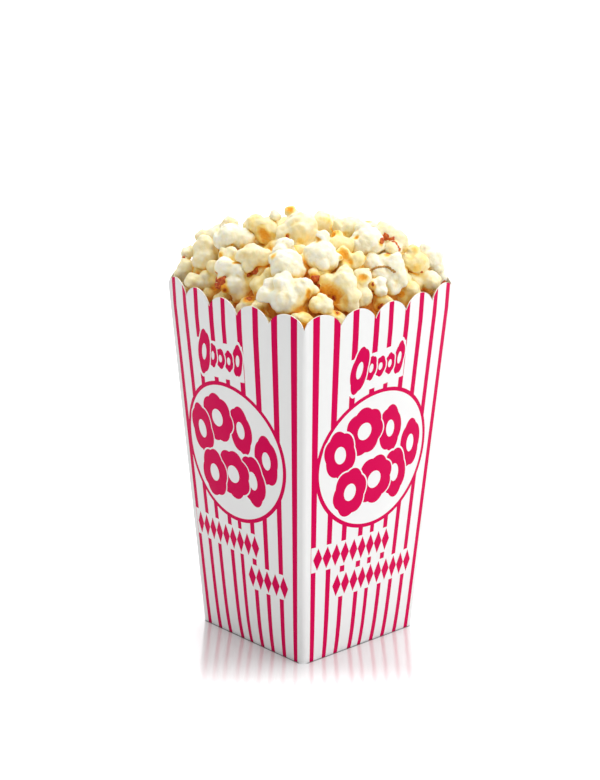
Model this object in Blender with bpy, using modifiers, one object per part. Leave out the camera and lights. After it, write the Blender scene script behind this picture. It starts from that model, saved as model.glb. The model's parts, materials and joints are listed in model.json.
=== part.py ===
"""A square paper carton with a scalloped rim, heaped with popcorn.

The carton is one folded sheet: four walls that lean and bow outwards, rounded
folds between them and a flat floor. The popcorn is one solid: a core that
fills the carton, with the kernels that show fused on it. Metres, +Z up, with
the origin at the middle of the carton's foot and a wall facing each of -Y,
+X, +Y and -X.
"""
import math
import random

import bmesh
import bpy
from mathutils import Matrix, Vector

# Carton
RIM_HEIGHT = 0.200            # from the foot to the notches between scallops
FOOT_WIDTH = 0.0852
RIM_WIDTH = 0.1132
BOARD = 0.0006                # thickness of the paper board
FOLD_RADIUS = 0.003
FOLD_STEPS = 4                # even, so that a column lies on the middle of a fold
SCALLOPS = 5                  # on each wall, from fold middle to fold middle
SCALLOP_RISE = 0.0075
SCALLOP_STEPS = 6
FOOT_BOW = 0.0021             # how far a wall's middle swells just over the foot
FOOT_BOW_LENGTH = 0.0115      # height over which that swelling comes
RIM_BOW = 0.0059              # and what the rest of the height adds to it
WALL_ROWS = (0.0, 0.03, 0.08, 0.22, 0.55, 0.94)   # heights, as parts of the rim's
WELD = 0.00001                # points nearer than this are one

# Popcorn
GAP = 0.0005                  # between popcorn and board
HEAP_EDGE = 0.002             # kernels' middles at the walls, over the notches
HEAP_CROWN = 0.031            # and how much higher they are at the middle
HEAP_SQUARENESS = 8
HEAP_SHOULDER = 4
FALL_BACK = 6.0               # share of the crown that is lost a metre, away from the viewer
FALL_RIGHT = 2.5              # and to the viewer's right
CORE_DROP = 0.006             # core's surface below the kernels' middles
CORE_SHRINK = 1.16            # and how much steeper it falls to the walls
CORE_CELLS = 8
CORE_CORNER_CUT = 0.0016      # keeps the core's corners off the rounded folds
CORE_CORNER_FROM = 0.99       # of the way out on both axes, a point is on a corner
CORE_CLOSER_UP = 1.6          # power that gathers the core's rows near its floor
VIEW_TURN = math.radians(47.67)   # kernels placed by hand are laid out as seen over the front fold
LOOK_DOWN = math.radians(17.72)
MILLIMETRE = 0.001
SEEN_GROWTH = 1.07            # lobes placed by hand are this much larger than listed

# Kernels that stand out: middle (right, away, up) from the heap's middle at the notches, then lobes
# (right, up, toward, radius) from there. All in millimetres, as seen over the front fold.
SEEN_KERNELS = (
    ((-13, -44, 25), ((0, 0, 0, 8.6), (-1.5, 2.6, .3, 6.8), (2.2, -1.6, .3, 7), (1.4, 2.8, 0, 6.6))),
    ((-12, -56, 14), ((-1.3, -2.7, 0, 8.8), (-3.2, 4.9, 0, 6), (6.5, 1.6, .5, 6.4), (-12, -.7, -1, 4.6),
                      (-10.4, 4.9, -1.5, 3.2), (12.9, 1.6, -.5, 3.4), (6.5, -9, -2, 4.8))),
    ((-9, -10, 36), ((3.2, .5, 0, 9.2), (-4.5, -2.4, .5, 6.2), (-7, -6.5, 1, 4.2), (-10.8, 7.8, -2, 2.9),
                     (-1.8, 10.8, -3, 2.6), (.8, -9.4, 2, 4.9), (6.4, -9.2, 2, 4.6))),
    ((6, -4, 37), ((0, 1.5, 0, 5.2), (5.5, -2.5, 0, 3.6), (-4, -1, 0, 5.2))),
    ((5, -38, 30), ((0, -.5, 0, 8.3), (3.5, -2.5, .5, 6), (-3, .5, 0, 6.3), (1, 9.5, -.5, 3.9),
                    (9, -1, -1, 2.4))),
    ((21, -8, 36), ((1, 1.6, 0, 5.8), (-3.2, -2.2, .5, 4.6), (-6, 2, 0, 3.8))),
    ((29, -17, 32), ((1, .5, 0, 7.9), (-3.6, -2.7, .5, 5.8), (4.7, -1.6, .5, 5.9), (-.5, 6.2, -1, 4.5))),
    ((20, -34, 26), ((-3, 3.2, 0, 4), (1, -.5, -.5, 4.4), (5.2, 1, 0, 4), (-2, -3.8, .5, 3.8))),
    ((16, -50, 14), ((-7.2, 3.8, 0, 5), (1.5, 3.8, .5, 6.6), (4.9, -2.7, 1, 5.2), (2, 8.6, -1, 4.6),
                     (6, -8.6, .5, 3.9), (-3.2, -2.7, -1.5, 5.6), (1.6, -6.5, -1, 4.6),
                     (-14.6, 9.2, -1, 2.9))),
    ((5, -61, 9), ((-2.2, .5, .5, 4.1), (2.5, -.5, 0, 4.2), (.5, 3.2, -1, 3.1))),
    ((-5, -66, 2), ((0, 0, 0, 4.2), (2.5, 1, 0, 3.2), (-3, 1, 0, 3.2))),
    ((42, -12, 29), ((2.2, -2.2, 1.5, 4.6), (-1, 6, -2, 6), (-4.3, 0, 0, 3.8), (6, 2.7, -2, 4.7))),
    ((41, -26, 17), ((-7.3, 4.9, 0, 5.4), (3.6, 3.8, 0, 6.2), (6.5, -2.2, 0, 5), (3, -7, .5, 5.3),
                     (-3.2, -.5, .5, 5.8), (-.5, 6, -1, 4.7))),
    ((27, -41, 15), ((.5, 3.8, 0, 4.8), (0, -6.5, -.5, 5.7), (-3.8, -1.6, 0, 4.2))),
    ((35, -35, 12), ((-1.4, 1, .5, 2.9), (2.4, 2.2, 0, 3), (2.7, -2.4, .5, 3.5))),
    ((56, -9, 19), ((2.5, -1.6, 0, 6), (0, 4.9, -1, 3.7), (-3.2, 0, 1, 4.1))),
    ((67, 3, 17), ((.5, 1, 0, 6.7), (2.7, -4.9, 0, 4.7), (-2.7, 3.8, 0, 4.6))),
    ((59, -11, 8), ((-3, -.5, 0, 6.1), (7, .5, 0, 5.1), (1.6, 3.8, .5, 3.6))),
    ((53, -20, 4), ((1.5, 1, 0, 5.2), (-3.2, -4.3, 0, 4.4), (-4.5, 1, 0, 3.4))),
    ((38, -35, 4), ((0, 0, 0, 4.2), (-2, -3, -1, 3.7), (3.5, -1, 0, 3.4))),
    ((-58, -2, 20), ((.2, -2, .5, 7.1), (-.5, 3.2, 0, 6.4), (6, -3.2, -1.5, 4.7))),
    ((-68, 6, 18), ((0, 0, 0, 3.2), (-1, -3, -1, 2.7), (2, 1.5, -1, 3))),
    ((-54, 5, 27), ((-5.7, .5, 0, 4.1), (1, 1, 0, 5.6), (3.5, 4.9, -1, 3), (3.2, -4.3, 0, 4.7))),
    ((-45, 7, 35), ((0, .5, 0, 3.4), (2, -1, 0, 3.2), (-2, -2, 0, 3.4))),
    ((-42, -8, 31), ((-2.2, 1, 0, 6.5), (4.6, -.5, 0, 5.9), (-6, -1.6, -1, 5.2))),
    ((-44, -17, 24), ((.8, 1, 1, 3.4), (-.5, -2.2, 0, 4.5), (-3, 0, -1, 3.5))),
    ((-26, -7, 35), ((-4.3, 4, 0, 5.3), (1.6, 0, -.5, 7.1), (4.9, -4.9, 0, 4.7))),
    ((-31, -27, 26), ((-.5, .2, 0, 6.4), (-5.7, 0, 0, 4.2), (5.4, -1, 0, 4.3), (-3.2, -5.4, 1.5, 3.4))),
    ((-38, -28, 13), ((-8.9, 7, 0, 5.3), (-1.6, 4.9, .5, 5.7), (-2.2, -2.4, 1, 6.6), (.5, -7.6, .5, 5.3),
                      (10.3, 3.8, 0, 5.4), (6.5, -.5, 1.5, 4.2), (6.5, -4.3, 0, 4.9), (-8.1, -3.8, 1.5, 3.2),
                      (-10.8, -1, 1.5, 3.3))),
    ((-56, -11, 8), ((0, 1, .5, 4.6), (-9.2, -1, 0, 4.4), (1.6, -2.7, 1, 3.6), (-4.3, -1.6, 0, 3.9))),
    ((-69, 2, 11), ((.5, 0, 0, 4.9), (-2.4, 0, 0, 2.6), (-1, -4.5, 0, 3.2))),
    ((-55, -15, 1), ((0, 0, 0, 4), (3, 1.5, -1, 3.4))),
    ((-46, -24, 2), ((0, 0, 0, 4), (-3.5, -2, 0, 3.6), (3.5, 1, 0, 3.5))),
    ((-33, -39, 2), ((-.5, 0, 0, 5.1), (4.9, 2.2, -1, 3.8), (-4, -2, 0, 3.8))),
)
WALL_LINES = ((0.001, 0.001), (0.005, 0.013))   # lines of kernels along the walls: inset, rise
RIM_SPACING = 0.0140
RIM_RADIUS = (0.0075, 0.0095)
RIM_WANDER = 0.0018
RIM_STEP = (0.1, 0.9)         # where in its stretch of the wall a kernel may lie
CROWN_SPACING = 0.0045        # grid of places tried for the rest of the heap
CROWN_RADIUS = (0.0080, 0.0110)
CROWN_WANDER = 0.0025
ELBOW_ROOM = 0.62             # nearest that two middles come, in summed radii
SEEN_ROOM = 0.86              # and nearest to a lobe placed by hand
WALL_ROOM = 0.7               # nearest that a middle comes to the rim, in radii
FILL_SPACING = 0.0050         # grid of places tried for smaller kernels that fill the gaps
FILL_RADIUS = (0.0068, 0.0088)
FILL_DROP = 0.0085            # their middles below those of the others
FILL_ROOM = 0.48              # nearest that they come to any lobe, in summed radii
MIDDLE_LOBE = (0.62, 0.78)    # lobe sizes and places, as parts of a kernel's radius
SIDE_LOBE = (0.40, 0.64)
LOBE_REACH = (0.42, 0.62)
LOBE_SPACING = 0.0030         # one more lobe for each of these in the radius
LOBE_TURN = 0.4               # how far a lobe strays from the golden angle
FINE_LOBE = 0.0042            # lobes from this radius up get the finer ball
SKIN_CELL = 0.0013            # even skin that the fused heap gets before it is thinned
HEAP_TRIANGLES = 10200
SEED = 11

CARD_COLOUR, CARD_ROUGHNESS = (0.80, 0.80, 0.79), 0.45
CORN_COLOUR, CORN_ROUGHNESS = (0.87, 0.74, 0.50), 0.8


def half_width(height):
    """Half the carton's width across two walls, outside, at a height."""
    part = min(max(height / RIM_HEIGHT, 0.0), 1.0)
    return (FOOT_WIDTH + (RIM_WIDTH - FOOT_WIDTH) * part) / 2


def bow(along, height):
    """How far a wall stands out, at a part of its width from fold to fold."""
    part = min(max(height / RIM_HEIGHT, 0.0), 1.0)
    middle = FOOT_BOW * (1 - math.exp(-part * RIM_HEIGHT / FOOT_BOW_LENGTH)) + RIM_BOW * part
    return middle * 4 * along * (1 - along)


def wall_out(sideways, height):
    """How far out a wall's outer face is, at a distance sideways from its middle."""
    flat = half_width(height) - FOLD_RADIUS
    along = min(max((sideways / flat + 1) / 2, 0.0), 1.0)
    return half_width(height) + bow(along, height)


def edge_arc():
    """Distance between two notches of the scalloped edge, and the radius of its arcs."""
    pitch = RIM_WIDTH / SCALLOPS
    return pitch, (pitch * pitch / 4 + SCALLOP_RISE ** 2) / (2 * SCALLOP_RISE)


def edge_rise(across):
    """How far the edge stands over its notches. Across a blank's wall goes from 0 to 1."""
    pitch, arc_radius = edge_arc()
    from_middle = (across * SCALLOPS % 1 - 0.5) * pitch
    return SCALLOP_RISE - arc_radius + math.sqrt(arc_radius ** 2 - from_middle ** 2)


def flat_columns():
    """Places on the flat of a wall, from 0 to 1, closer together where the edge turns fast."""
    pitch, arc_radius = edge_arc()
    half_angle = math.asin(pitch / 2 / arc_radius)
    fold_share = FOLD_RADIUS / RIM_WIDTH
    yield 0.0
    for scallop in range(SCALLOPS):
        for step in range(SCALLOP_STEPS):
            angle = half_angle * (2 * step / SCALLOP_STEPS - 1)
            across = (scallop + 0.5 + math.sin(angle) * arc_radius / pitch) / SCALLOPS
            if fold_share < across < 1 - fold_share:
                yield (across - fold_share) / (1 - 2 * fold_share)


def blank_columns():
    """Each column of the blank: its wall, its place on the flat, and its angle on the fold."""
    for wall in range(4):
        for along in flat_columns():
            yield wall, along, 0.0
        for step in range(FOLD_STEPS):
            yield wall, 1.0, math.pi / 2 * step / FOLD_STEPS


def folded(wall, along, angle, height):
    """The point of the carton's outer face where a column of the blank ends up."""
    flat = half_width(height) - FOLD_RADIUS
    sideways = (2 * along - 1) * flat + FOLD_RADIUS * math.sin(angle)
    out = flat + FOLD_RADIUS * math.cos(angle) + bow(along, height)
    return Matrix.Rotation(wall * math.pi / 2, 3, 'Z') @ Vector((sideways, -out, height))


def blank_across(along, angle):
    """Where a column is across the flat blank of its wall. Folds share it between two walls."""
    edge = FOLD_RADIUS / (RIM_WIDTH / 2)
    sideways = (2 * along - 1) * (1 - edge) + edge * angle / (math.pi / 4)
    return (sideways + 1) / 2


def finish_object(name, bm, collection, colour, roughness):
    """Turn a bmesh into a named object with its own material."""
    mesh = bpy.data.meshes.new(name)
    bm.to_mesh(mesh)
    bm.free()
    material = bpy.data.materials.new(name)
    material.use_nodes = True
    shader = material.node_tree.nodes['Principled BSDF']
    shader.inputs['Base Color'].default_value = (*colour, 1.0)
    shader.inputs['Roughness'].default_value = roughness
    shader.inputs['Metallic'].default_value = 0.0
    mesh.materials.append(material)
    obj = bpy.data.objects.new(name, mesh)
    collection.objects.link(obj)
    return obj


def make_carton(collection):
    """Roll a flat grid into the carton's outside, close its floor, give it thickness."""
    columns = list(blank_columns())
    rows = len(WALL_ROWS)
    bm = bmesh.new()
    bmesh.ops.create_grid(bm, x_segments=len(columns), y_segments=rows, size=1.0)
    for vert in bm.verts:
        column = round((vert.co.x + 1) / 2 * len(columns)) % len(columns)
        row = round((vert.co.y + 1) / 2 * rows)
        wall, along, angle = columns[column]
        vert.co = folded(wall, along, angle, RIM_HEIGHT * WALL_ROWS[row] if row < rows else RIM_HEIGHT)
        if row == rows:
            vert.co.z += edge_rise(blank_across(along, angle))
    bmesh.ops.remove_doubles(bm, verts=bm.verts, dist=WELD)
    foot = [edge for edge in bm.edges if edge.is_boundary and all(v.co.z < BOARD for v in edge.verts)]
    bmesh.ops.edgeloop_fill(bm, edges=foot)
    bmesh.ops.recalc_face_normals(bm, faces=bm.faces)
    carton = finish_object('carton', bm, collection, CARD_COLOUR, CARD_ROUGHNESS)
    board = carton.modifiers.new('board', 'SOLIDIFY')
    board.thickness = BOARD
    board.offset = -1.0
    board.use_even_offset = True
    return carton


def heap_rise(x, y):
    """Height of the kernels' middles over the notches, at a place in the heap."""
    reach = RIM_WIDTH / 2
    out = (abs(x / reach) ** HEAP_SQUARENESS + abs(y / reach) ** HEAP_SQUARENESS) ** (1 / HEAP_SQUARENESS)
    right = x * math.cos(VIEW_TURN) + y * math.sin(VIEW_TURN)
    away = y * math.cos(VIEW_TURN) - x * math.sin(VIEW_TURN)
    crown = HEAP_CROWN * (1 - FALL_BACK * max(away, 0.0) - FALL_RIGHT * max(right, 0.0))
    return HEAP_EDGE + crown * (1 - min(out, 1.0) ** HEAP_SHOULDER)


def held_inside(centre, radius):
    """Move a ball's centre in until the ball is clear of the walls."""
    low = centre.z - radius
    moved = centre.copy()
    for axis in (0, 1):
        sideways = abs(centre[1 - axis]) + radius / 2
        room = wall_out(sideways, low) - BOARD - GAP - radius
        moved[axis] = min(max(centre[axis], -room), room)
    return moved


def seen_kernel(middle, lobes):
    """A kernel placed by hand: its lobes are moved in the plane that faces the camera."""
    turn = Matrix.Rotation(VIEW_TURN, 3, 'Z')
    rise, run = math.sin(LOOK_DOWN), math.cos(LOOK_DOWN)
    balls = []
    for right, up, toward, radius in lobes:
        place = Vector(middle) + Vector((right, up * rise - toward * run, up * run + toward * rise))
        size = radius * SEEN_GROWTH * MILLIMETRE
        balls.append((turn @ place * MILLIMETRE + Vector((0, 0, RIM_HEIGHT)), size))
    return balls


def grown_kernel(number, centre, radius):
    """A kernel placed by the rule: a middle ball, and lobes round it spread by the golden angle."""
    draw = random.Random(SEED * 1000 + number)
    balls = [(centre, radius * draw.uniform(*MIDDLE_LOBE))]
    count = 1 + round(radius / LOBE_SPACING)
    angle = draw.uniform(0, 2 * math.pi)
    for step in range(count):
        angle += math.pi * (3 - math.sqrt(5)) + draw.uniform(-LOBE_TURN, LOBE_TURN)
        lift = 1 - (2 * step + 1) / count
        flat = math.sqrt(1 - lift * lift)
        way = Vector((flat * math.cos(angle), flat * math.sin(angle), lift))
        balls.append((centre + way * radius * draw.uniform(*LOBE_REACH), radius * draw.uniform(*SIDE_LOBE)))
    return balls


def is_free(place, radius, balls, room):
    return all((place - other).length > room * (radius + size) for other, size in balls)


def all_kernels():
    """Every kernel as a list of balls, each a place and a radius. The ones placed by hand come first."""
    draw = random.Random(SEED)
    kernels = [seen_kernel(middle, lobes) for middle, lobes in SEEN_KERNELS]
    seen = [ball for balls in kernels for ball in balls]
    taken = []

    def grow_where_free(x, y, rise, radius):
        place = Vector((x, y, RIM_HEIGHT + rise))
        if is_free(place, radius, seen, SEEN_ROOM) and is_free(place, radius, taken, ELBOW_ROOM):
            kernels.append(grown_kernel(len(kernels), place, radius))
            taken.append((place, radius))

    for inset, rise in WALL_LINES:
        length = RIM_WIDTH - 2 * (inset + RIM_RADIUS[0])
        count = round(length / RIM_SPACING)
        for wall in range(4):
            quarter = Matrix.Rotation(wall * math.pi / 2, 3, 'Z')
            for step in range(count):
                radius = draw.uniform(*RIM_RADIUS)
                sideways = ((step + draw.uniform(*RIM_STEP)) / count - 0.5) * length
                wall_face = wall_out(sideways, RIM_HEIGHT) - BOARD - inset - radius
                spot = quarter @ Vector((sideways, -wall_face, 0))
                grow_where_free(spot.x, spot.y, rise + draw.uniform(-1, 1) * RIM_WANDER, radius)
    across_heap = math.ceil(RIM_WIDTH / CROWN_SPACING)
    for row in range(-across_heap, across_heap + 1):
        for step in range(-across_heap, across_heap + 1):
            x = (step + row % 2 / 2) * CROWN_SPACING + draw.uniform(-1, 1) * CROWN_WANDER
            y = row * CROWN_SPACING * math.sqrt(3) / 2 + draw.uniform(-1, 1) * CROWN_WANDER
            radius = draw.uniform(*CROWN_RADIUS)
            if max(abs(x), abs(y)) < RIM_WIDTH / 2 - radius * WALL_ROOM:
                grow_where_free(x, y, heap_rise(x, y) + draw.uniform(-1, 1) * CROWN_WANDER, radius)
    return [[(held_inside(place, size), size) for place, size in balls] for balls in kernels]


def fill_between(kernels):
    """Smaller kernels, wherever there is room for one a little lower down."""
    draw = random.Random(SEED + 1)
    taken = [ball for balls in kernels for ball in balls]
    found = []
    across_heap = math.ceil(RIM_WIDTH / 2 / FILL_SPACING)
    for row in range(-across_heap, across_heap + 1):
        for step in range(-across_heap, across_heap + 1):
            x, y = step * FILL_SPACING, row * FILL_SPACING
            radius = draw.uniform(*FILL_RADIUS)
            if max(abs(x), abs(y)) > RIM_WIDTH / 2 - radius:
                continue
            place = Vector((x, y, RIM_HEIGHT + heap_rise(x, y) - FILL_DROP))
            if is_free(place, radius, taken, FILL_ROOM):
                balls = grown_kernel(len(kernels) + len(found), place, radius)
                found.append([(held_inside(ball, size), size) for ball, size in balls])
                taken.append((place, radius))
    return found


def make_core(collection):
    """The body of the heap: a gridded cube pushed out to the carton's inside."""
    floor = BOARD + GAP
    bm = bmesh.new()
    bmesh.ops.create_cube(bm, size=2.0)
    bmesh.ops.subdivide_edges(bm, edges=bm.edges, cuts=CORE_CELLS - 1, use_grid_fill=True)
    for vert in bm.verts:
        x, y, up = vert.co.x, vert.co.y, (vert.co.z + 1) / 2
        corner = CORE_CORNER_CUT * (min(abs(x), abs(y)) > CORE_CORNER_FROM)
        wide = RIM_WIDTH / 2 * CORE_SHRINK
        top = RIM_HEIGHT + heap_rise(x * wide, y * wide) - CORE_DROP
        height = floor + (top - floor) * up ** CORE_CLOSER_UP
        inset = BOARD + GAP + corner
        flat = half_width(height)
        vert.co = Vector((x * (wall_out(y * flat, height) - inset),
                          y * (wall_out(x * flat, height) - inset), height))
    return finish_object('popcorn', bm, collection, CORN_COLOUR, CORN_ROUGHNESS)


def apply_modifiers(obj):
    bpy.context.view_layer.update()
    applied = bpy.data.meshes.new_from_object(obj.evaluated_get(bpy.context.evaluated_depsgraph_get()))
    obj.modifiers.clear()
    obj.data = applied


def keep_largest_body(obj):
    """Drop sealed hollows and loose scraps, which are closed shells of their own."""
    bm = bmesh.new()
    bm.from_mesh(obj.data)
    unseen = set(bm.verts)
    shells = []
    while unseen:
        shell = [unseen.pop()]
        for vert in shell:
            for edge in vert.link_edges:
                other = edge.other_vert(vert)
                if other in unseen:
                    unseen.remove(other)
                    shell.append(other)
        shells.append(shell)
    shells.sort(key=len)
    bmesh.ops.delete(bm, geom=[vert for shell in shells[:-1] for vert in shell], context='VERTS')
    bm.to_mesh(obj.data)
    bm.free()


def make_popcorn(collection):
    """Fuse the kernels' lobes to the core with one union."""
    core = make_core(collection)
    lobes = bpy.data.collections.new('lobes')
    bpy.context.scene.collection.children.link(lobes)
    kernels = all_kernels()
    for balls in kernels + fill_between(kernels):
        for place, size in balls:
            bm = bmesh.new()
            rounds = 2 if size > FINE_LOBE else 1
            bmesh.ops.create_icosphere(bm, subdivisions=rounds, radius=size, matrix=Matrix.Translation(place))
            mesh = bpy.data.meshes.new('lobe')
            bm.to_mesh(mesh)
            bm.free()
            lobes.objects.link(bpy.data.objects.new('lobe', mesh))
    fuse = core.modifiers.new('fuse', 'BOOLEAN')
    fuse.operation = 'UNION'
    fuse.operand_type = 'COLLECTION'
    fuse.collection = lobes
    fuse.solver = 'MANIFOLD'
    apply_modifiers(core)
    for lobe in list(lobes.objects):
        bpy.data.objects.remove(lobe)
    bpy.data.collections.remove(lobes)
    skin = core.modifiers.new('skin', 'REMESH')
    skin.mode = 'VOXEL'
    skin.voxel_size = SKIN_CELL
    apply_modifiers(core)
    keep_largest_body(core)
    triangles = sum(len(face.vertices) - 2 for face in core.data.polygons)
    thin = core.modifiers.new('thin', 'DECIMATE')
    thin.ratio = HEAP_TRIANGLES / triangles
    apply_modifiers(core)
    return core


def main():
    for obj in list(bpy.data.objects):
        bpy.data.objects.remove(obj)
    collection = bpy.data.collections.new('popcorn_carton')
    bpy.context.scene.collection.children.link(collection)
    make_carton(collection)
    make_popcorn(collection)


main()
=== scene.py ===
# %% [markdown]
# # A box of popcorn
#
# A square paper carton, printed with magenta stripes and filled over its rim with popcorn. Two pieces
# carry the picture: the printed board, which is a material problem, and the heap, which is a modelling
# problem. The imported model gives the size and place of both, and this script dresses them.

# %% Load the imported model
import json
import math
import random
from types import SimpleNamespace

import bmesh
import bpy
import numpy as np
from mathutils import Matrix, Vector, noise
from mathutils.bvhtree import BVHTree

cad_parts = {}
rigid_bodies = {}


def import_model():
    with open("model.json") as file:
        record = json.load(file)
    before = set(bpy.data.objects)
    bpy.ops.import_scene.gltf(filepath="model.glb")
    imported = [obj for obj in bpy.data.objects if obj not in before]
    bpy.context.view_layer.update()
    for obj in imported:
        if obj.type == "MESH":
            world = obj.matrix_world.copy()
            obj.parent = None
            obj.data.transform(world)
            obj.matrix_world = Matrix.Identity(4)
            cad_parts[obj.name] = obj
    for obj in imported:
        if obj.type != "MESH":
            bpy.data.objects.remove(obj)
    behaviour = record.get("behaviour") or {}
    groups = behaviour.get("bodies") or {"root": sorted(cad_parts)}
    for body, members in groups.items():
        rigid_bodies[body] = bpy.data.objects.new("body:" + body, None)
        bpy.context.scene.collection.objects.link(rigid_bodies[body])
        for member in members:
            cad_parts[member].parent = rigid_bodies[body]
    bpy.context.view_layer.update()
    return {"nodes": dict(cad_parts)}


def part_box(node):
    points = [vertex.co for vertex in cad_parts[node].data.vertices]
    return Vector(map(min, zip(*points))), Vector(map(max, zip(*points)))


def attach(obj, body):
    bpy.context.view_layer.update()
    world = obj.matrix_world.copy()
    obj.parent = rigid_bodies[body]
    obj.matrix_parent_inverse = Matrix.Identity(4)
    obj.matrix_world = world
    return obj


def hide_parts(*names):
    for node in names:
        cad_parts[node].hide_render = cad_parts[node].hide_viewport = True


for old in list(bpy.data.objects):
    bpy.data.objects.remove(old)
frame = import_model()
print("packed nodes:", sorted(frame["nodes"]))

# %% [markdown]
# The carton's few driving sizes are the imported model's own, in metres. Everything printed or placed on
# the carton is worked out from them, so the print can't drift off the board.

# %% The carton's sizes
RIM_HEIGHT = 0.200
FOOT_WIDTH = 0.0852
RIM_WIDTH = 0.1132
BOARD = 0.0006
FOLD_RADIUS = 0.003
SCALLOPS = 5
SCALLOP_RISE = 0.0075
FOOT_BOW = 0.0021
FOOT_BOW_LENGTH = 0.0115
RIM_BOW = 0.0059
GAP = 0.0005
MILLIMETRE = 0.001
carton_low, carton_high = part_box("carton")
print("carton in the packed model, mm:", [round(1000 * v, 1) for v in carton_high - carton_low])

# %% [markdown]
# ## Camera
#
# The picture was taken from about 1.5 metres with a long lens, looking down a little over the front fold.
# With the distance known, the lens follows from how large the carton is in the frame. A camera looks
# along its own -Z, so it is tipped up by a right angle less its downward tilt, then turned about the
# vertical, and last rolled a little about its own axis.

# %% Place the camera
PICTURE_WIDTH, PICTURE_HEIGHT = 600, 780
LENS_PIXELS = 2892.0
CAMERA_TURN = math.radians(47.51)
CAMERA_DOWN = math.radians(18.76)
CAMERA_ROLL = math.radians(0.46)
CAMERA_PLACE = Vector((-0.0054, -1.5323, 0.6611))     # to the right, away, up, before the turn
SENSOR = 36.0

camera_data = bpy.data.cameras.new("camera")
camera_data.sensor_fit = 'HORIZONTAL'
camera_data.sensor_width = SENSOR
camera_data.lens = LENS_PIXELS / PICTURE_WIDTH * SENSOR
camera_data.clip_end = 50.0
camera = bpy.data.objects.new("camera", camera_data)
bpy.context.scene.collection.objects.link(camera)
view_turn = Matrix.Rotation(CAMERA_TURN, 4, 'Z')
camera_turn = Matrix.Rotation(math.pi / 2 - CAMERA_DOWN, 4, 'X') @ Matrix.Rotation(CAMERA_ROLL, 4, 'Z')
camera.matrix_world = Matrix.Translation(view_turn @ CAMERA_PLACE) @ view_turn @ camera_turn
bpy.context.scene.camera = camera
bpy.context.view_layer.update()


def sight_line(column, row):
    """Start and direction of the line of sight through a pixel of the 600 by 780 picture."""
    aim = Vector((column - PICTURE_WIDTH / 2, PICTURE_HEIGHT / 2 - row, -LENS_PIXELS)).normalized()
    turned = camera.matrix_world.to_3x3() @ aim
    return camera.matrix_world.translation.copy(), turned


print("lens, mm:", round(camera_data.lens, 1))

# %% [markdown]
# ## Small helpers
#
# A mesh becomes a piece when it is an object with a material that rides on the one body of this part.
# A node's result is held as a wire, and a sign between wires or numbers adds a Math node, so that a formula
# in a material reads like a formula.

# %% Helpers for pieces
def linked_object(name, mesh):
    piece = bpy.data.objects.new(name, mesh)
    bpy.context.scene.collection.objects.link(piece)
    return piece


def mesh_from(bm, name):
    mesh = bpy.data.meshes.new(name)
    bm.to_mesh(mesh)
    bm.free()
    return mesh


def add_modifier(piece, kind, **settings):
    modifier = piece.modifiers.new(kind.lower(), kind)
    for label, value in settings.items():
        setattr(modifier, label, value)


def apply_modifiers(piece):
    """Bake a piece's modifiers into its mesh."""
    bpy.context.view_layer.update()
    depsgraph = bpy.context.evaluated_depsgraph_get()
    applied = bpy.data.meshes.new_from_object(piece.evaluated_get(depsgraph))
    applied.name = piece.name
    piece.modifiers.clear()
    piece.data = applied


def dress(piece, node):
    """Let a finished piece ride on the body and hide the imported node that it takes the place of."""
    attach(piece, "root")
    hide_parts(node)
    print(piece.name, "has", sum(len(face.vertices) - 2 for face in piece.data.polygons), "triangles")


# %% Helpers for nodes
class Wire:
    """A node's result that can be calculated with."""

    def __init__(self, socket):
        self.socket, self.tree = socket, socket.id_data

    def __add__(self, other):
        return calc('ADD', self, other)

    def __sub__(self, other):
        return calc('SUBTRACT', self, other)

    def __rsub__(self, other):
        return calc('SUBTRACT', other, self)

    def __mul__(self, other):
        return calc('MULTIPLY', self, other)

    def __truediv__(self, other):
        return calc('DIVIDE', self, other)

    def __lt__(self, other):
        return calc('LESS_THAN', self, other)

    def __gt__(self, other):
        return calc('GREATER_THAN', self, other)

    def __abs__(self):
        return calc('ABSOLUTE', self)


def feed(socket, value):
    """Give an input a number, a colour, or a wire."""
    if isinstance(value, Wire):
        value.tree.links.new(value.socket, socket)
    else:
        socket.default_value = (*value, 1.0) if socket.type == 'RGBA' else value


def feed_named(inputs, **values):
    """Feed inputs by name. A _ stands for a space."""
    for label, value in values.items():
        feed(inputs[label.replace('_', ' ')], value)


def calc(operation, *values, clamp=False):
    """A Math node among the wires it is fed with."""
    tree = next(value.tree for value in values if isinstance(value, Wire))
    node = tree.nodes.new('ShaderNodeMath')
    node.operation, node.use_clamp = operation, clamp
    for socket, value in zip(node.inputs, values):
        feed(socket, value)
    return Wire(node.outputs[0])


def length(x, y):
    return calc('SQRT', x * x + y * y)


def wires(node):
    """A node's results as wires, by name."""
    named = [socket for socket in node.outputs if socket.name]
    return SimpleNamespace(**{socket.name.replace(' ', '_'): Wire(socket) for socket in named})


def source(tree, kind, **settings):
    """A node that is fed by nothing, with its settings."""
    node = tree.nodes.new('ShaderNode' + kind)
    for label, value in settings.items():
        setattr(node, label, value)
    return wires(node)


def split(wire, kind):
    """The three parts of a place or a colour."""
    node = wire.tree.nodes.new('ShaderNodeSeparate' + kind)
    feed(node.inputs[0], wire)
    return [Wire(socket) for socket in node.outputs]


def blend_colour(share, first, second):
    node = share.tree.nodes.new('ShaderNodeMix')
    node.data_type = 'RGBA'
    for name, value in (('Factor_Float', share), ('A_Color', first), ('B_Color', second)):
        feed(next(socket for socket in node.inputs if socket.identifier == name), value)
    return Wire(next(socket for socket in node.outputs if socket.identifier == 'Result_Color'))


def ramp_value(value, low, high):
    """A smooth rise from 0 at low to 1 at high."""
    node = value.tree.nodes.new('ShaderNodeMapRange')
    node.interpolation_type = 'SMOOTHSTEP'
    feed_named(node.inputs, Value=value, From_Min=low, From_Max=high)
    return wires(node).Result


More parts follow.
